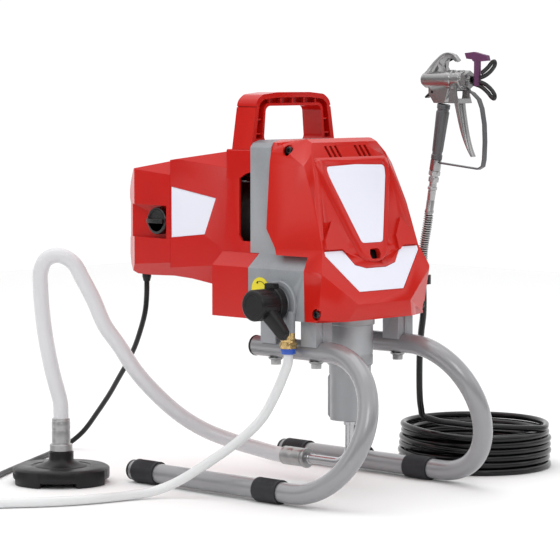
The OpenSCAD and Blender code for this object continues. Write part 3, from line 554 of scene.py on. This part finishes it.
def rounded(outline, r, n=4):
    """Polygon outline with rounded corners."""
    out = []
    m = len(outline)
    for i in range(m):
        p, a, b = (V((*outline[k % m], 0)) for k in (i, i - 1, i + 1))
        d0, d1 = (a - p).normalized(), (b - p).normalized()
        half = d0.angle(d1) / 2
        cut = min(r / math.tan(half), (a - p).length * 0.45, (b - p).length * 0.45)
        s, e = p + d0 * cut, p + d1 * cut
        for k in range(n + 1):
            t = k / n
            q = s * (1 - t) ** 2 + p * 2 * t * (1 - t) + e * t ** 2
            out.append((q.x, q.y))
    return out


def arc(cx, cy, r, a0, a1, n):
    """Points of an arc, with its angles in degrees."""
    return [(cx + r * math.cos(math.radians(a0 + (a1 - a0) * i / n)),
             cy + r * math.sin(math.radians(a0 + (a1 - a0) * i / n))) for i in range(n + 1)]


def carve(o, *tools, how="DIFFERENCE"):
    """Cuts closed meshes from a piece, or joins them to it, then drops them."""
    made = [linked("cutter", t) for t in tools]
    for t in made:
        m = o.modifiers.new("cut", "BOOLEAN")
        m.operation = how
        m.solver = "EXACT"
        m.object = t
    bpy.context.view_layer.update()
    bake(o)
    for t in made:
        me = t.data
        bpy.data.objects.remove(t)
        bpy.data.meshes.remove(me)


def absorb(bm, part):
    """Adds one bmesh to another."""
    me = bpy.data.meshes.new("part")
    part.to_mesh(me)
    part.free()
    bm.from_mesh(me)
    bpy.data.meshes.remove(me)


def nose(low, high):
    """Frame on one of the cover's sloped front faces: u across, v up the slope, w outwards."""
    a, b = V((0, low[0], low[1])), V((0, high[0], high[1]))
    up = (b - a).normalized()
    out = up.cross(V((1, 0, 0))).normalized()
    if out.y > 0:
        out = -out
    base = a + V((0, 0, BASE_Z))
    return lambda u, v, w: (base + V((u, 0, 0)) + up * v + out * w) * MM


FACE = nose((-147.5, 89), (-115, 192.5))
CHIN = nose((-171, 21), (-147.5, 89))


def mirror_x(pts):
    """Half an outline and its mirror image."""
    return pts + [(-u, v) for u, v in reversed(pts)]


def at(x, y, z):
    """Point given in mm from the casting's underside."""
    return V((x, y, z + BASE_Z)) * MM


def half(lo, hi, side):
    """Box between two corners in mm from the casting's underside, on either flank."""
    x = sorted((lo[0] * side, hi[0] * side))
    return box_bm(at(x[0], lo[1], lo[2]), at(x[1], hi[1], hi[2]))


def finish(o, node, width, segments, angle):
    """Cleans a carved piece, rounds its edges and hands it the CAD node's place."""
    bm = bmesh.new()
    bm.from_mesh(o.data)
    bmesh.ops.remove_doubles(bm, verts=bm.verts, dist=2e-6)
    flatten(bm)
    bm.to_mesh(o.data)
    bm.free()
    reshade(o, 32)
    if width:
        bevelled(o, width, segments, angle)
    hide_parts(node)


# ---------------------------------------------------------------- front cover
BROW = nose((-115, 192.5), (-102, 218.5))


def hood_ring(place, v, wide, h):
    """Cross-section of the raised hood round the window, h high."""
    shape = [(-wide - 6, -1.6), (-wide - 4.6, min(0.3, h)), (-wide - 2.4, h * 0.62), (-wide, h * 0.93),
             (-wide + 3.5, h), (wide - 3.5, h), (wide, h * 0.93), (wide + 2.4, h * 0.62),
             (wide + 4.6, min(0.3, h)), (wide + 6, -1.6)]
    return [place(u, v, w) for u, w in shape]


cover = obj("front_cover_shell", raw("front_cover"), RED)
hood = loft([hood_ring(CHIN, 52.5, 5, 1.2), hood_ring(CHIN, 55, 12, 3.4), hood_ring(CHIN, 60, 19, 4.4),
             hood_ring(CHIN, 66, 23, 4.6), hood_ring(FACE, 3, 26, 4.6), hood_ring(FACE, 12, 30.5, 4.6),
             hood_ring(FACE, 50, 44.5, 4.6), hood_ring(FACE, 92, 59, 4.6), hood_ring(FACE, 104, 61, 4.4),
             hood_ring(BROW, 3, 61.5, 3.4), hood_ring(BROW, 6, 61, 1.6), hood_ring(BROW, 8.5, 60, 0.1)])
tools = [hood]
for s in (1, -1):
    tools.append(prism(rounded([(s * u, v) for u, v in
                                [(47, 12), (63, 36), (82, 12), (84, -1), (56, -1), (47, -8)]], 2.0, 3),
                       lambda u, v, w: FACE(u, v, w - 1.5), 5.0))
carve(cover, *tools, how="UNION")
window = rounded(mirror_x([(19, 4.5), (51, 90), (53.5, 103.8), (0.01, 105.6)]), 6.5, 6)
vee = rounded(mirror_x([(40, 16), (85, 64), (85, 69.5), (53, 69.5), (37, 50), (18, 45)]), 1.6, 3)


def grown(outline, d):
    """Outline moved outwards by d, by its edge normals."""
    n = len(outline)
    area = sum(outline[i - 1][0] * outline[i][1] - outline[i][0] * outline[i - 1][1] for i in range(n))
    s = 1 if area > 0 else -1
    out = []
    for i in range(n):
        p, a, b = (V((*outline[k % n], 0)) for k in (i, i - 1, i + 1))
        na = V(((p - a).y, -(p - a).x, 0)).normalized() * s
        nb = V(((b - p).y, -(b - p).x, 0)).normalized() * s
        m = (na + nb).normalized()
        m = m * (d / max(0.4, m.dot(na)))
        out.append((p.x + m.x, p.y + m.y))
    return out


cuts = [prism(grown(window, 0.7), lambda u, v, w: FACE(u, v, w + 3.7), 4),
        prism(grown(vee, 0.7), lambda u, v, w: CHIN(u, v, w - 0.9), 4),
        prism(rounded([(-10, 61.5), (-7.5, 55.5), (7.5, 55.5), (10, 61.5), (8, 68.5), (-8, 68.5)], 3.5, 5),
              lambda u, v, w: CHIN(u, v, w - 14), 22)]
carve(cover, *cuts)
finish(cover, "front_cover", 0.0011, 3, 20)
stand_in("hole_back", prism([(-14, 50), (14, 50), (14, 72), (-14, 72)], lambda u, v, w: CHIN(u, v, w - 6.5),
                            1.2),
         BLACK, "front_cover")

film = obj("window_film", prism(window, lambda u, v, w: FACE(u, v, w + 3.5), 0.85), WHITE)
finish(film, "window_panel", 0.00025, 2, 40)
film = obj("vee_film", prism(vee, lambda u, v, w: CHIN(u, v, w - 1.0), 1.15), WHITE)
finish(film, "vee_panel", 0.00025, 2, 40)

# socket screws in the cover's pockets
bm = bmesh.new()
for s in (1, -1):
    for x, y, z in ((74, -76, 209), (98, -146, 10)):
        head = lathe([(-16, 2.3), (-4, 2.3), (-4, 4.2), (-3.4, 4.6), (-0.8, 4.6), (-0.2, 4.3), (0, 3.7),
                      (0, 2.6), (-2.4, 2.5), (-2.5, 0)], (0, 0, 0), (1, 0, 0), 24)
        for v in head.verts:
            v.co = at(s * (x + v.co.x), y + v.co.y, z + v.co.z)
        absorb(bm, head)
stand_in("cover_screw_heads", bm, BLACK_GLOSS, "cover_screws")

# ---------------------------------------------------------------- handle
handle = obj("handle_arch", raw("carry_handle"), RED)
ribs = []
for u in (-42, -21, 0, 21, 42):
    ribs.append(box_bm(at(u - 1, -11, 265.5), at(u + 1, -3.5, 277)))
for s in (1, -1):
    for z in (228, 246):
        ribs.append(half((56.5, -11, z - 1), (68, -3.5, z + 1), s))
carve(handle, *ribs, how="UNION")
grooves = []
for s in (1, -1):
    grooves.append(half((66.6, -20, 261.3), (82, 40, 262.7), s))
carve(handle, *grooves)
finish(handle, "carry_handle", 0.0016, 3, 24)

# ---------------------------------------------------------------- rear housing and tail
for name, node, mat, width, segments, angle, slot in (
        ("rear_housing_shell", "rear_housing", RED, 0.0012, 3, 20, "red_cover"),
        ("tail_cap_shell", "tail_cap", RED, 0.0013, 3, 20, "red_cover"),
        ("side_films", "side_panels", WHITE, 0.0004, 2, 30, "white_panel")):
    finish(obj(name, raw(node), mat), node, width, segments, angle)

# ---------------------------------------------------------------- casting
refined("gearbox_frame", CAST, "machine", 0.0013, 3, 24, "gearbox_casting")
VALVE = at(-98, -86, 20.5)          # where the valve stem leaves the casting's left flank
OUTWARD = (-1, 0, 0)
stand_in("valve_boss", lathe(mm([(-4, 28.5), (3.5, 28.5), (4.6, 27.5), (4.6, 22.5), (3.6, 21.5), (3.6, 17.5),
                                 (5.2, 16.5), (5.2, 6.2), (-4, 6.2)]), VALVE, OUTWARD, 56), CAST,
         "gearbox_frame")
bm = bmesh.new()
for s in (1, -1):
    for y in (-125, -55):
        for d in (-1, 1):
            absorb(bm, half((72.5, y + 13 * d - 1.6, -26), (77.5, y + 13 * d + 1.6, 0.5), s))
bevelled(stand_in("casting_ribs", bm, CAST, "gearbox_frame"), 0.001, 2)

# ---------------------------------------------------------------- stand
TRACK, TUBE_Z = 138.5, 15.2          # a lower tube's distance from the middle, and its height
BEND = 90                            # radius of the runners' bends
LEAN = math.asin((277 - 150) / 2 / (2 * BEND))
UPPER_Z = 183.62                     # height of the upper tubes
UPWARD, ALONG_Y = (0, 0, 1), (0, 1, 0)


def stand_point(side, y, up):
    """Point on a runner's own leaning plane, up from the lower tube, in mm."""
    return V((side * (TRACK - math.sin(LEAN) * up), y, TUBE_Z + math.cos(LEAN) * up)) * MM


def runner_line(side):
    """Centre line of a runner, from the back of its lower tube round the bend to its upper end."""
    line = [stand_point(side, y, 0) for y in (138, 100, 60, 20, -20, -60, -100, -130, -147)]
    for i in range(1, 48):
        a = math.pi * i / 48
        line.append(stand_point(side, -147 - BEND * math.sin(a), BEND - BEND * math.cos(a)))
    return line + [stand_point(side, y, 2 * BEND) for y in (-147, -130, -100, -75, -50, -22)]


for side, name in ((-1, "left_runner"), (1, "right_runner")):
    bm = sweep(runner_line(side), 0.0127, 48)
    stand_in(name + "_tube", bm, TUBE, name, angle=50)

# ribbed rubber bands round the lower tubes
bm = bmesh.new()
for side in (-1, 1):
    for y in (-108, 111):
        n, rows = 60, 41
        outer = []
        for i in range(rows + 4):
            k = min(max(i - 1.5, 0), rows)
            d = -20 + 40 * k / rows
            ring = []
            for j in range(n):
                a = 2 * math.pi * j / n
                edge = 0.75 if i in (0, rows + 3) else (0.25 if i in (1, rows + 2) else 0)
                r = 15.0 - edge
                top = max(0.0, min(1.0, (math.cos(a) - 0.35) / 0.2))
                if 3 < k < rows - 3:
                    r -= 1.1 * top * (0.5 - 0.5 * math.cos(2 * math.pi * k / rows * 10))
                if math.cos(a) < -0.965:
                    r = min(r, 14.95 / max(0.9, -math.cos(a)))
                ring.append(V((side * TRACK + r * math.sin(a), y + d, TUBE_Z + r * math.cos(a))) * MM)
            outer.append(ring)
        circle = [2 * math.pi * j / n for j in range(n)]
        hole = [[V((side * TRACK + 12.72 * math.sin(a), y + d, TUBE_Z + 12.72 * math.cos(a))) * MM
                 for a in circle] for d in (20, -20)]
        loft(outer + hole + [outer[0]], caps=False, bm=bm)
bmesh.ops.remove_doubles(bm, verts=bm.verts, dist=1e-6)
stand_in("foot_bands", bm, RUBBER, "foot_pads")

# plugs in the tube ends
bm = bmesh.new()
for side in (-1, 1):
    for x, y, z in ((TRACK, 138, TUBE_Z), (75, -22, UPPER_Z)):
        lathe(mm(((-10, 11), (0, 11.05), (0.03, 13.1), (2.4, 13.1), (3.4, 12.6), (4, 11.4), (4, 8.6),
                  (3.3, 8), (3.2, 3), (3.2, 0))),
              V((side * x, y, z)) * MM, ALONG_Y, 40, bm=bm)
stand_in("tube_plugs", bm, BLACK, "tube_caps")

# bolts, washers and flange nuts
bm = bmesh.new()
for side in (-1, 1):
    for y in (-125, -55):
        base = V((side * 75, y, UPPER_Z)) * MM
        lathe([(-0.0209, 0.0), (-0.0209, 0.0034), (-0.0202, 0.004), (0.0372, 0.004), (0.0372, 0.0)], base,
              UPWARD, 20, bm=bm)
        lathe([(-0.0128, 0.004), (-0.0128, 0.0094), (-0.0139, 0.0094), (-0.0139, 0.0085), (-0.0146, 0.0086),
               (-0.0156, 0.0072), (-0.0158, 0.004)], base, UPWARD, 32, bm=bm)
        hexagon(0.0072, -0.0215, -0.0153, base, UPWARD, 0.0009, bm=bm, turn=0.3)
stand_in("stand_bolts", bm, ZINC, "stand_fasteners")

# ---------------------------------------------------------------- pump
PUMP_Y, PIPE_Z = -112, 34          # the pump's axis, and the height of the inlet pipe's level run
bm = lathe(mm(((-0.1, 9), (-0.1, 30.5), (-0.6, 31), (-9.2, 31), (-10, 30.2), (-10.6, 29), (-11.4, 28.9),
               (-46, 28.9), (-47, 28.3), (-48, 28.9), (-59.6, 28.9), (-61, 27.6), (-61, 9))),
           at(0, PUMP_Y, 0), UPWARD, 72)
stand_in("pump_upper_cylinder", bm, ALU, "pump_cylinder")
lower = obj("pump_lower_body", raw("pump_body"), ALU)
web = loft([[at(x * k, PUMP_Y + y * k, z) for x, y in ((-11, -22), (11, -22), (12.5, 26.5), (-12.5, 26.5))]
            for z, k in ((-129, 0.92), (-126, 1.0), (-78, 1.0), (-74, 0.92))])
carve(lower, web, how="UNION")
carve(lower, lathe(mm(((-142, 6.06), (-118, 6.06))), at(0, PUMP_Y, 0), UPWARD, 32),
      lathe(mm(((-120, 11), (-60, 11))), at(0, PUMP_Y, 0), UPWARD, 32))
finish(lower, "pump_body", 0.0015, 3, 28)

# bent inlet pipe
line = [V((0, PUMP_Y, z)) * MM for z in (103.4, 96, 88, 80, 70, 62)]
for i in range(19):
    a = math.pi / 2 * i / 18
    line.append(V((0, PUMP_Y + 24 - 24 * math.cos(a), 58 - 24 * math.sin(a))) * MM)
line += [V((0, y, PIPE_Z)) * MM for y in (-84, -76, -66, -56, -46, -30, -10, -2)]
bm = sweep(line, 0.006, 32)
lathe(mm(((0, 6), (0, 7.4), (0.6, 8), (4.2, 8), (5, 7.2), (5, 6))),
      V((0, PUMP_Y, 84)) * MM, UPWARD, 32, bm=bm)
lathe(mm(((0, 6), (0.2, 6.9), (0.8, 7.4), (2.2, 7.4), (2.8, 6.9), (3, 6))),
      V((0, -45, PIPE_Z)) * MM, ALONG_Y, 32, bm=bm)
stand_in("bent_inlet_pipe", bm, CHROME, "inlet_pipe")

STRAINER = (-210, 200)          # its axis

# crimped sleeves on the suction hose
bm = bmesh.new()
crimp = [(-41, 6.2), (-41, 12.2), (-40.4, 12.9), (-37.6, 12.9), (-37, 12.3), (-36.4, 11.2), (-35, 11.0),
         (-34.4, 11.9), (-22, 12.0), (-21, 11.7), (-19, 11.7), (-18, 12.0), (-5, 12.0), (-4, 11.6),
         (-2, 11.6), (-1.4, 11.9), (-0.4, 11.9), (-0.05, 11.4), (-0.05, 6.2)]
lathe(mm(crimp), V((0, 2, PIPE_Z)) * MM, ALONG_Y, 44, bm=bm)
top = [(41.2, 8), (41.2, 14.2), (41.8, 14.7), (49.2, 14.7), (50, 14), (50.4, 12.2), (52, 11.7), (54, 12),
       (66, 12), (67, 11.7), (69, 11.7), (70, 12), (78, 12), (79, 11.6), (81, 11.6), (82, 12), (82.9, 11.4),
       (82.9, 8)]
lathe(mm(top), V((*STRAINER, 0)) * MM, UPWARD, 44, bm=bm)
sleeves = stand_in("crimped_sleeves", bm, ZINC, "crimp_sleeves")

# round strainer with a castellated skirt
bm = bmesh.new()
POINTS = 216
rings = []


def skirt(r, z, tooth, drop):
    """Ring of the strainer; over its four feet it stands out by tooth and reaches down by drop."""
    ring = []
    for j in range(POINTS):
        a = 2 * math.pi * j / POINTS
        on = max(0.0, min(1.0, (math.cos(4 * a) + 0.04) / 0.12))
        ring.append(V((STRAINER[0] + (r + tooth * on) * math.cos(a),
                       STRAINER[1] + (r + tooth * on) * math.sin(a), z - drop * on)) * MM)
    return ring


for r, z, tooth, drop in ((8, 41.1, 0, 0), (14.6, 41.1, 0, 0), (16, 40.2, 0, 0), (16, 31, 0, 0),
                          (17.4, 28.6, 0, 0), (26, 24.6, 0, 0), (30, 22.9, 0, 0), (33, 22.5, 0, 0),
                          (34, 21.6, 0, 0), (38, 21.6, 0, 0), (39, 22.5, 0, 0), (57.6, 22.4, 0, 0),
                          (59, 21.8, 0, 0), (61.4, 20.4, 0.6, 0), (62.2, 19, 0.8, 0), (62.2, 12, 0.8, 0),
                          (62.0, 8, 0.9, 2), (61.6, 7, 0.9, 6.4), (60.6, 6.4, 0, 6.2), (50, 6.4, 0, 6.2),
                          (46.4, 7, 0, 6.2), (46, 8, 0, 0), (46, 16.6, 0, 0),
                          (45, 17, 0, 0), (8, 17, 0, 0)):
    rings.append(skirt(r, z, tooth, drop))
loft(rings + [rings[0]], caps=False, bm=bm)
bmesh.ops.remove_doubles(bm, verts=bm.verts, dist=1e-6)
strainer = stand_in("round_strainer", bm, BLACK, "strainer")
bm = bmesh.new()
for k in range(-5, 6):
    for flip in (0, 1):
        c = k * 8.2
        h = math.sqrt(max(1, 45.5 ** 2 - c * c))
        a, b = ((c, -h, 12), (c, h, 12)) if flip else ((-h, c, 12.9), (h, c, 12.9))
        sweep([V((p[0] + STRAINER[0], p[1] + STRAINER[1], p[2])) * MM for p in (a, b)], 0.0007, 6, bm=bm)
mesh_wires = stand_in("strainer_mesh", bm, ZINC, "strainer")

# ---------------------------------------------------------------- drain and outlet
bm = lathe(mm(((-22.4, 3.5), (-22.4, 5), (-14.5, 5), (-14.5, 3.5))), at(-101, -107, 0),
           UPWARD, 28)
hexagon(0.0115, -0.0340, -0.0262, at(-101, -102, 0), UPWARD, 0.0009, bm=bm, turn=0.35)
hexagon(0.0098, -0.0262, -0.0218, at(-101, -102.6, 0), UPWARD, 0.0007, bm=bm, turn=0.8)
stand_in("brass_drain", bm, BRASS, "drain_fitting")
bm = lathe(mm(((-41, 6.2), (-41, 8.4), (-40.4, 9), (-37, 9.2), (-36.6, 10), (-34.6, 10), (-34.06, 9.5),
               (-34.06, 6.2))), at(-101, -102, 0), UPWARD, 36)
stand_in("blue_collet", bm, BLUE, "drain_collet")

# ---------------------------------------------------------------- prime knob
VY, VZ = -86, 20.5          # the valve's axis, above the casting's underside
SLOPE = math.sqrt(0.5)      # the lever points forward and down at 45 degrees
bm = lathe(mm(((8.3, 5.1), (8.3, 20.5), (9.2, 21.6), (18.6, 21.6), (19.8, 20.8), (20.2, 19.8), (47.2, 19.5),
               (49, 18.6), (50, 17), (50, 13.4), (49.2, 12.8), (49.2, 0))), at(-98, VY, VZ), OUTWARD, 64)
knob = obj("prime_knob_body", bm, BLACK, "prime_lever")
lever = []
for t, wide, thick in ((4, 10.5, 10), (18, 10.2, 9.6), (24, 9.8, 8.6), (34, 9.4, 7.2), (44, 9.0, 6.2),
                       (50, 8.2, 5.6), (53, 6, 4.4)):
    ring = []
    for i in range(20):
        a = 2 * math.pi * i / 20
        c, s = math.cos(a), math.sin(a)
        x = -98 - 30 + thick * math.copysign(abs(c) ** 0.6, c)
        across = wide * math.copysign(abs(s) ** 0.6, s)
        ring.append(at(x, VY + (across - t) * SLOPE, VZ - (across + t) * SLOPE))
    lever.append(ring)
tab = loft([[at(x, VY + y * k, z) for x, y in ((-118.6, -8), (-109, -8), (-109, 8), (-118.6, 8))]
            for z, k in ((VZ + 17, 1.0), (VZ + 24.6, 0.96), (VZ + 26, 0.82))])
flutes = []
for i in range(15):
    a = 2 * math.pi * i / 15 + 0.2
    flutes.append(lathe([(22 * MM, 1.1 * MM), (51 * MM, 1.1 * MM)],
                        at(-98, VY + 20.3 * math.cos(a), VZ + 20.3 * math.sin(a)), OUTWARD, 8))
carve(knob, *flutes)
carve(knob, loft(lever), tab, how="UNION")
finish(knob, "prime_knob", 0.0009, 2, 35)

bm = lathe(mm(((0.05, 0), (0.05, 15), (0.6, 15), (0.75, 14.8), (0.75, 0))),
           at(-98, -50.6, 36), OUTWARD, 56)
label = obj("flow_label", bm, YELLOW)
carve(label, lathe([(-3 * MM, 29.3 * MM), (3 * MM, 29.3 * MM)], at(-98, VY, VZ), OUTWARD, 72))
finish(label, "flow_decal", 0, 0, 0)
arrow = [(-48 + 10.0 * math.cos(math.radians(a)) - 2.6, 36 + 10.0 * math.sin(math.radians(a)))
         for a in range(62, 148, 6)]
bm = sweep([at(-98.8, y, z) for y, z in arrow], 0.0004, 6)
tip_y, tip_z = arrow[0]
loft([[at(x, tip_y + u, tip_z + v) for u, v in ((2.2, -1.4), (-0.9, 1.6),
                                                (-1.4, -2.0))] for x in (-98.75, -99.0)],
     bm=bm)
stand_in("flow_arrow", bm, BLACK, "flow_decal")

# ---------------------------------------------------------------- pressure knob
KY, KZ, KX = 171, 111, 58
bm = lathe(mm(((0.4, 3.1), (0.4, 17.4), (1, 17.8), (9.6, 17.8), (10.8, 16.8), (11, 15.6), (11, 13.6),
               (9.6, 12.8), (9.6, 0))), at(-KX, KY, KZ), OUTWARD, 60)
knob = obj("pressure_knob_body", bm, BLACK_GLOSS, "pressure_dial")
bar = loft([[at(-KX - d, KY + y * k, KZ + z * k) for y, z in ((-15.4, -3), (15.4, -3), (15.4, 3), (-15.4, 3))]
            for d, k in ((8.5, 1.0), (14.2, 0.97), (15, 0.85))])
carve(knob, bar, how="UNION")
finish(knob, "pressure_knob", 0.0006, 2, 35)

# ---------------------------------------------------------------- gun
GX, GZ = 118, 517.5          # the gun's middle plane, and the height of its bore


def gp(x, y, z):
    """Point on the gun, x from its middle plane, in mm."""
    return V((GX + x, y, z)) * MM


TILT = math.radians(10)
# the handle's top, and the directions down it and to its front
TOP = V((GX, -164, 488)) * MM
DOWN = V((0, math.sin(TILT), -math.cos(TILT)))
FRONT = V((0, -math.cos(TILT), -math.sin(TILT)))

body = obj("gun_casting_body", raw("gun_body"), GUN, "gun")
nose_rings = lathe(mm([(-6, 10.8), (-5.2, 12.3), (2, 12.3), (3, 11.4), (9, 11.4), (10, 12.6), (17, 12.6),
                       (18, 11.2)]),
                   gp(0, -191, GZ), ALONG_Y, 48)
hook = [(-141, 522, 9), (-148, 532, 7.2), (-156, 541, 5.4), (-165, 547.5, 4.4), (-174, 548.4, 3.9),
        (-182, 545.8, 3.5), (-187.5, 541, 2.6)]
STEPS = 6
mid = catmull([gp(0, y, z) for y, z, r in hook], STEPS)
rad = []
for i in range(len(mid)):
    k, part = i // STEPS, i % STEPS / STEPS
    rad.append(hook[min(k, 6)][2] * (1 - part) + hook[min(k + 1, 6)][2] * part)
carve(body, nose_rings, sweep(mid, lambda i, a: rad[i] * MM * (0.82 + 0.18 * abs(math.cos(a))), 20),
      how="UNION")
carve(body, lathe(mm([(-216, 2.55), (-128, 2.55)]), gp(0, 0, GZ), ALONG_Y, 24),
      lathe(mm([(-14, 2.02), (14, 2.02)]), gp(0, -190, 508), (1, 0, 0), 24))
finish(body, "gun_body", 0.0012, 3, 30)

profile = [(1.5, 4.9), (1.5, 8.0), (2.2, 8.4), (7, 8.4), (8, 7.4), (10, 7.4), (11, 8.2)]
grip = lathe(mm(profile + [(12, 8.5), (62, 7.0), (63, 6.4), (66, 6.3), (67, 7.2), (72, 7.2), (73, 6.2),
                           (73, 4.2)]),
             TOP, DOWN, 64)
for v in grip.verts:
    d = (v.co - TOP).dot(DOWN) / MM
    if 11.5 < d < 62.5:
        off = v.co - (TOP + DOWN * d * MM)
        a = math.atan2(off.x, off.dot(FRONT))
        v.co -= off.normalized() * 0.0005 * (0.5 + 0.5 * math.cos(16 * a))
stand_in("gun_grip", grip, GUN_DARK, "gun_handle", body="gun")
bm = hexagon(0.0076, 0.073, 0.087, TOP, DOWN, 0.0008)
stand_in("grip_nut", bm, GUN, "gun_handle", body="gun")

bm = lathe(mm([(78, 0), (78, 3.9), (87, 3.9), (87, 5.4), (88, 6.2), (88, 0)]), TOP, DOWN, 32)
hexagon(0.0074, 0.0875, 0.0935, TOP, DOWN, 0.0007, bm=bm, turn=0.3)
lathe(mm([(93.4, 0), (93.4, 5.6), (94.6, 5.2), (95.6, 5.6), (95.6, 0)]), TOP, DOWN, 32, bm=bm)
hexagon(0.0074, 0.0956, 0.1015, TOP, DOWN, 0.0007, bm=bm, turn=0.8)
lathe(mm([(101.4, 0), (101.4, 5.4), (104, 4.8), (105, 5), (107.9, 5), (107.9, 0)]), TOP, DOWN, 32, bm=bm)
stand_in("swivel_nuts", bm, ZINC, "gun_swivel")

# curved trigger
rows = []
front = catmull([gp(0, y, z) for y, z in ((-197, 489), (-198.5, 478), (-201.5, 462), (-205, 446),
                                          (-209.5, 432), (-214, 421.5))], 6)
back = catmull([gp(0, y, z) for y, z in ((-183.5, 489), (-187, 476), (-191.5, 460), (-197.5, 444),
                                         (-205, 430), (-211.8, 420.6))], 6)
for i, (a, b) in enumerate(zip(front, back)):
    k = i / (len(front) - 1)
    w = (6.4 - 1.6 * k) * MM
    c, r = (a + b) / 2, (b - a) / 2
    ring = []
    for j in range(16):
        t = 2 * math.pi * j / 16
        cs, sn = math.cos(t), math.sin(t)
        ring.append(c + r * math.copysign(abs(cs) ** 0.75,
                                          cs) + V((w, 0, 0)) * math.copysign(abs(sn) ** 0.75, sn))
    rows.append(ring)
lever = obj("trigger_lever", raw("trigger"), GUN, "gun_trigger")
carve(lever, box_bm(gp(-9, -230, 400), gp(9, -170, 487.9)))
cheek = prism(arc(-190, 507.5, 5.6, -20, 200, 16) + [(-196, 498), (-199.5, 487), (-182, 487), (-184.5, 498)],
              lambda y, z, w: gp(w - 15, y, z), 30)
carve(lever, cheek, how="INTERSECT")
carve(lever, loft(rows), how="UNION")
finish(lever, "trigger", 0.0006, 2, 35)

# tip guard with two looped wings
guard = obj("tip_guard_shell", raw("tip_guard"), BLACK_GLOSS, "tip_housing")
fin = []
for i in range(14):
    a = 2 * math.pi * i / 14
    fin.append(box_bm(V((-0.0009, -0.2165, 0.0118)), V((0.0009, -0.2075, 0.0132))))
    for v in fin[-1].verts:
        x, z = v.co.x, v.co.z
        v.co = V((x * math.cos(a) + z * math.sin(a) + GX * MM, v.co.y,
                  -x * math.sin(a) + z * math.cos(a) + GZ * MM))
carve(guard, box_bm(gp(-9, -262, 480), gp(9, -226.4, 560)))
wings = []
for up in (1, -1):
    loop = [(-213, 5), (-225, 8.5), (-236, 15.5), (-243, 22), (-246.8, 23), (-247.6, 19.5), (-243.5, 13.5),
            (-235, 7), (-227, 3.6), (-221, 2.5), (-213, 2.5)]
    line = catmull([gp(0, y, GZ + up * z) for y, z in loop], 5)
    wings.append(sweep(line, lambda i, a: 0.0021 + 0.0006 * abs(math.sin(a)), 14))
carve(guard, *fin, *wings, how="UNION")
finish(guard, "tip_guard", 0.0009, 2, 30)
refined("spray_tip", PURPLE, "tip_key", 0.0011, 3, 30, "tip_key")
refined("trigger_guard", GUN_DARK, "gun", 0.0006, 2, 40, "guard_strip")
refined("trigger_lock", BLACK, "gun_lock", 0.0006, 2, 30, "lock_lever")

# spring round the hose, with its ferrule
mid = [p for p in catmull(metres(riser_route), 10) if p.z > 0.2655]
mid = resample(mid, 0.00022)
u = basis(mid[1] - mid[0])[0]
wire = []
for i, p in enumerate(mid):
    t = (mid[min(i + 1, len(mid) - 1)] - mid[max(i - 1, 0)]).normalized()
    u = (u - t * u.dot(t)).normalized()
    w = t.cross(u)
    a = i * 2 * math.pi / 13.5
    wire.append(p + (u * math.cos(a) + w * math.sin(a)) * 0.0055)
spring = stand_in("hose_spring", sweep(wire, 0.00085, 8), ZINC, "spring_guard")
bm = lathe(mm([(108, 0), (108, 5.6), (108.6, 6.2), (111.4, 6.2), (112, 5.6), (112.4, 5.2), (124, 5.2),
               (124.6, 4.9), (125.6, 4.9), (126.2, 5.2), (138, 5.2), (139, 5.9), (142, 5.9), (142.9, 5.2),
               (142.9, 0)]),
           TOP, DOWN, 40)
ferrule = stand_in("hose_end_ferrule", bm, ZINC, "hose_ferrule")
refined("hose_clip", BLACK, "machine", 0.0008, 2, 35, "clip")

# ---------------------------------------------------------------- the rest keeps its CAD solid, finished
for node, material, edge in (("motor_can", ZINC, 0.0008), ("armature", COPPER, 0.0004),
                             ("motor_fan", NYLON, 0.0004), ("ball_bearings", CHROME, 0.0005),
                             ("drive_gear", CHROME, 0.0004), ("piston_yoke", CHROME, 0.0007),
                             ("packing_nut", BRASS, 0.0006), ("intake_seat", ZINC, 0.0003),
                             ("intake_ball", CHROME, 0), ("outlet_fitting", ZINC, 0.0006),
                             ("hose_nut", ZINC, 0.0006), ("valve_stem", ZINC, 0.0004),
                             ("control_board", GREEN, 0.0003), ("power_switch", BLACK_GLOSS, 0.0005),
                             ("cord_gland", BLACK, 0.0005), ("mains_plug", BLACK, 0.0012),
                             ("gun_needle", CHROME, 0), ("trigger_pin", ZINC, 0.0004)):
    dress(node, material, edge)

# ---------------------------------------------------------------- floor
bm = bmesh.new()
bm.faces.new([bm.verts.new((x, y, 0)) for x, y in ((-3, -3), (3, -3), (3, 3), (-3, 3))])
me = bpy.data.meshes.new("floor")
bm.to_mesh(me)
bm.free()
floor = bpy.data.objects.new("floor", me)
bpy.context.scene.collection.objects.link(floor)
floor_mat, _, bsdf = new_material("floor_paper")
bsdf.inputs["Base Color"].default_value = (0.93, 0.93, 0.93, 1)
bsdf.inputs["Roughness"].default_value = 0.8
me.materials.append(floor_mat)
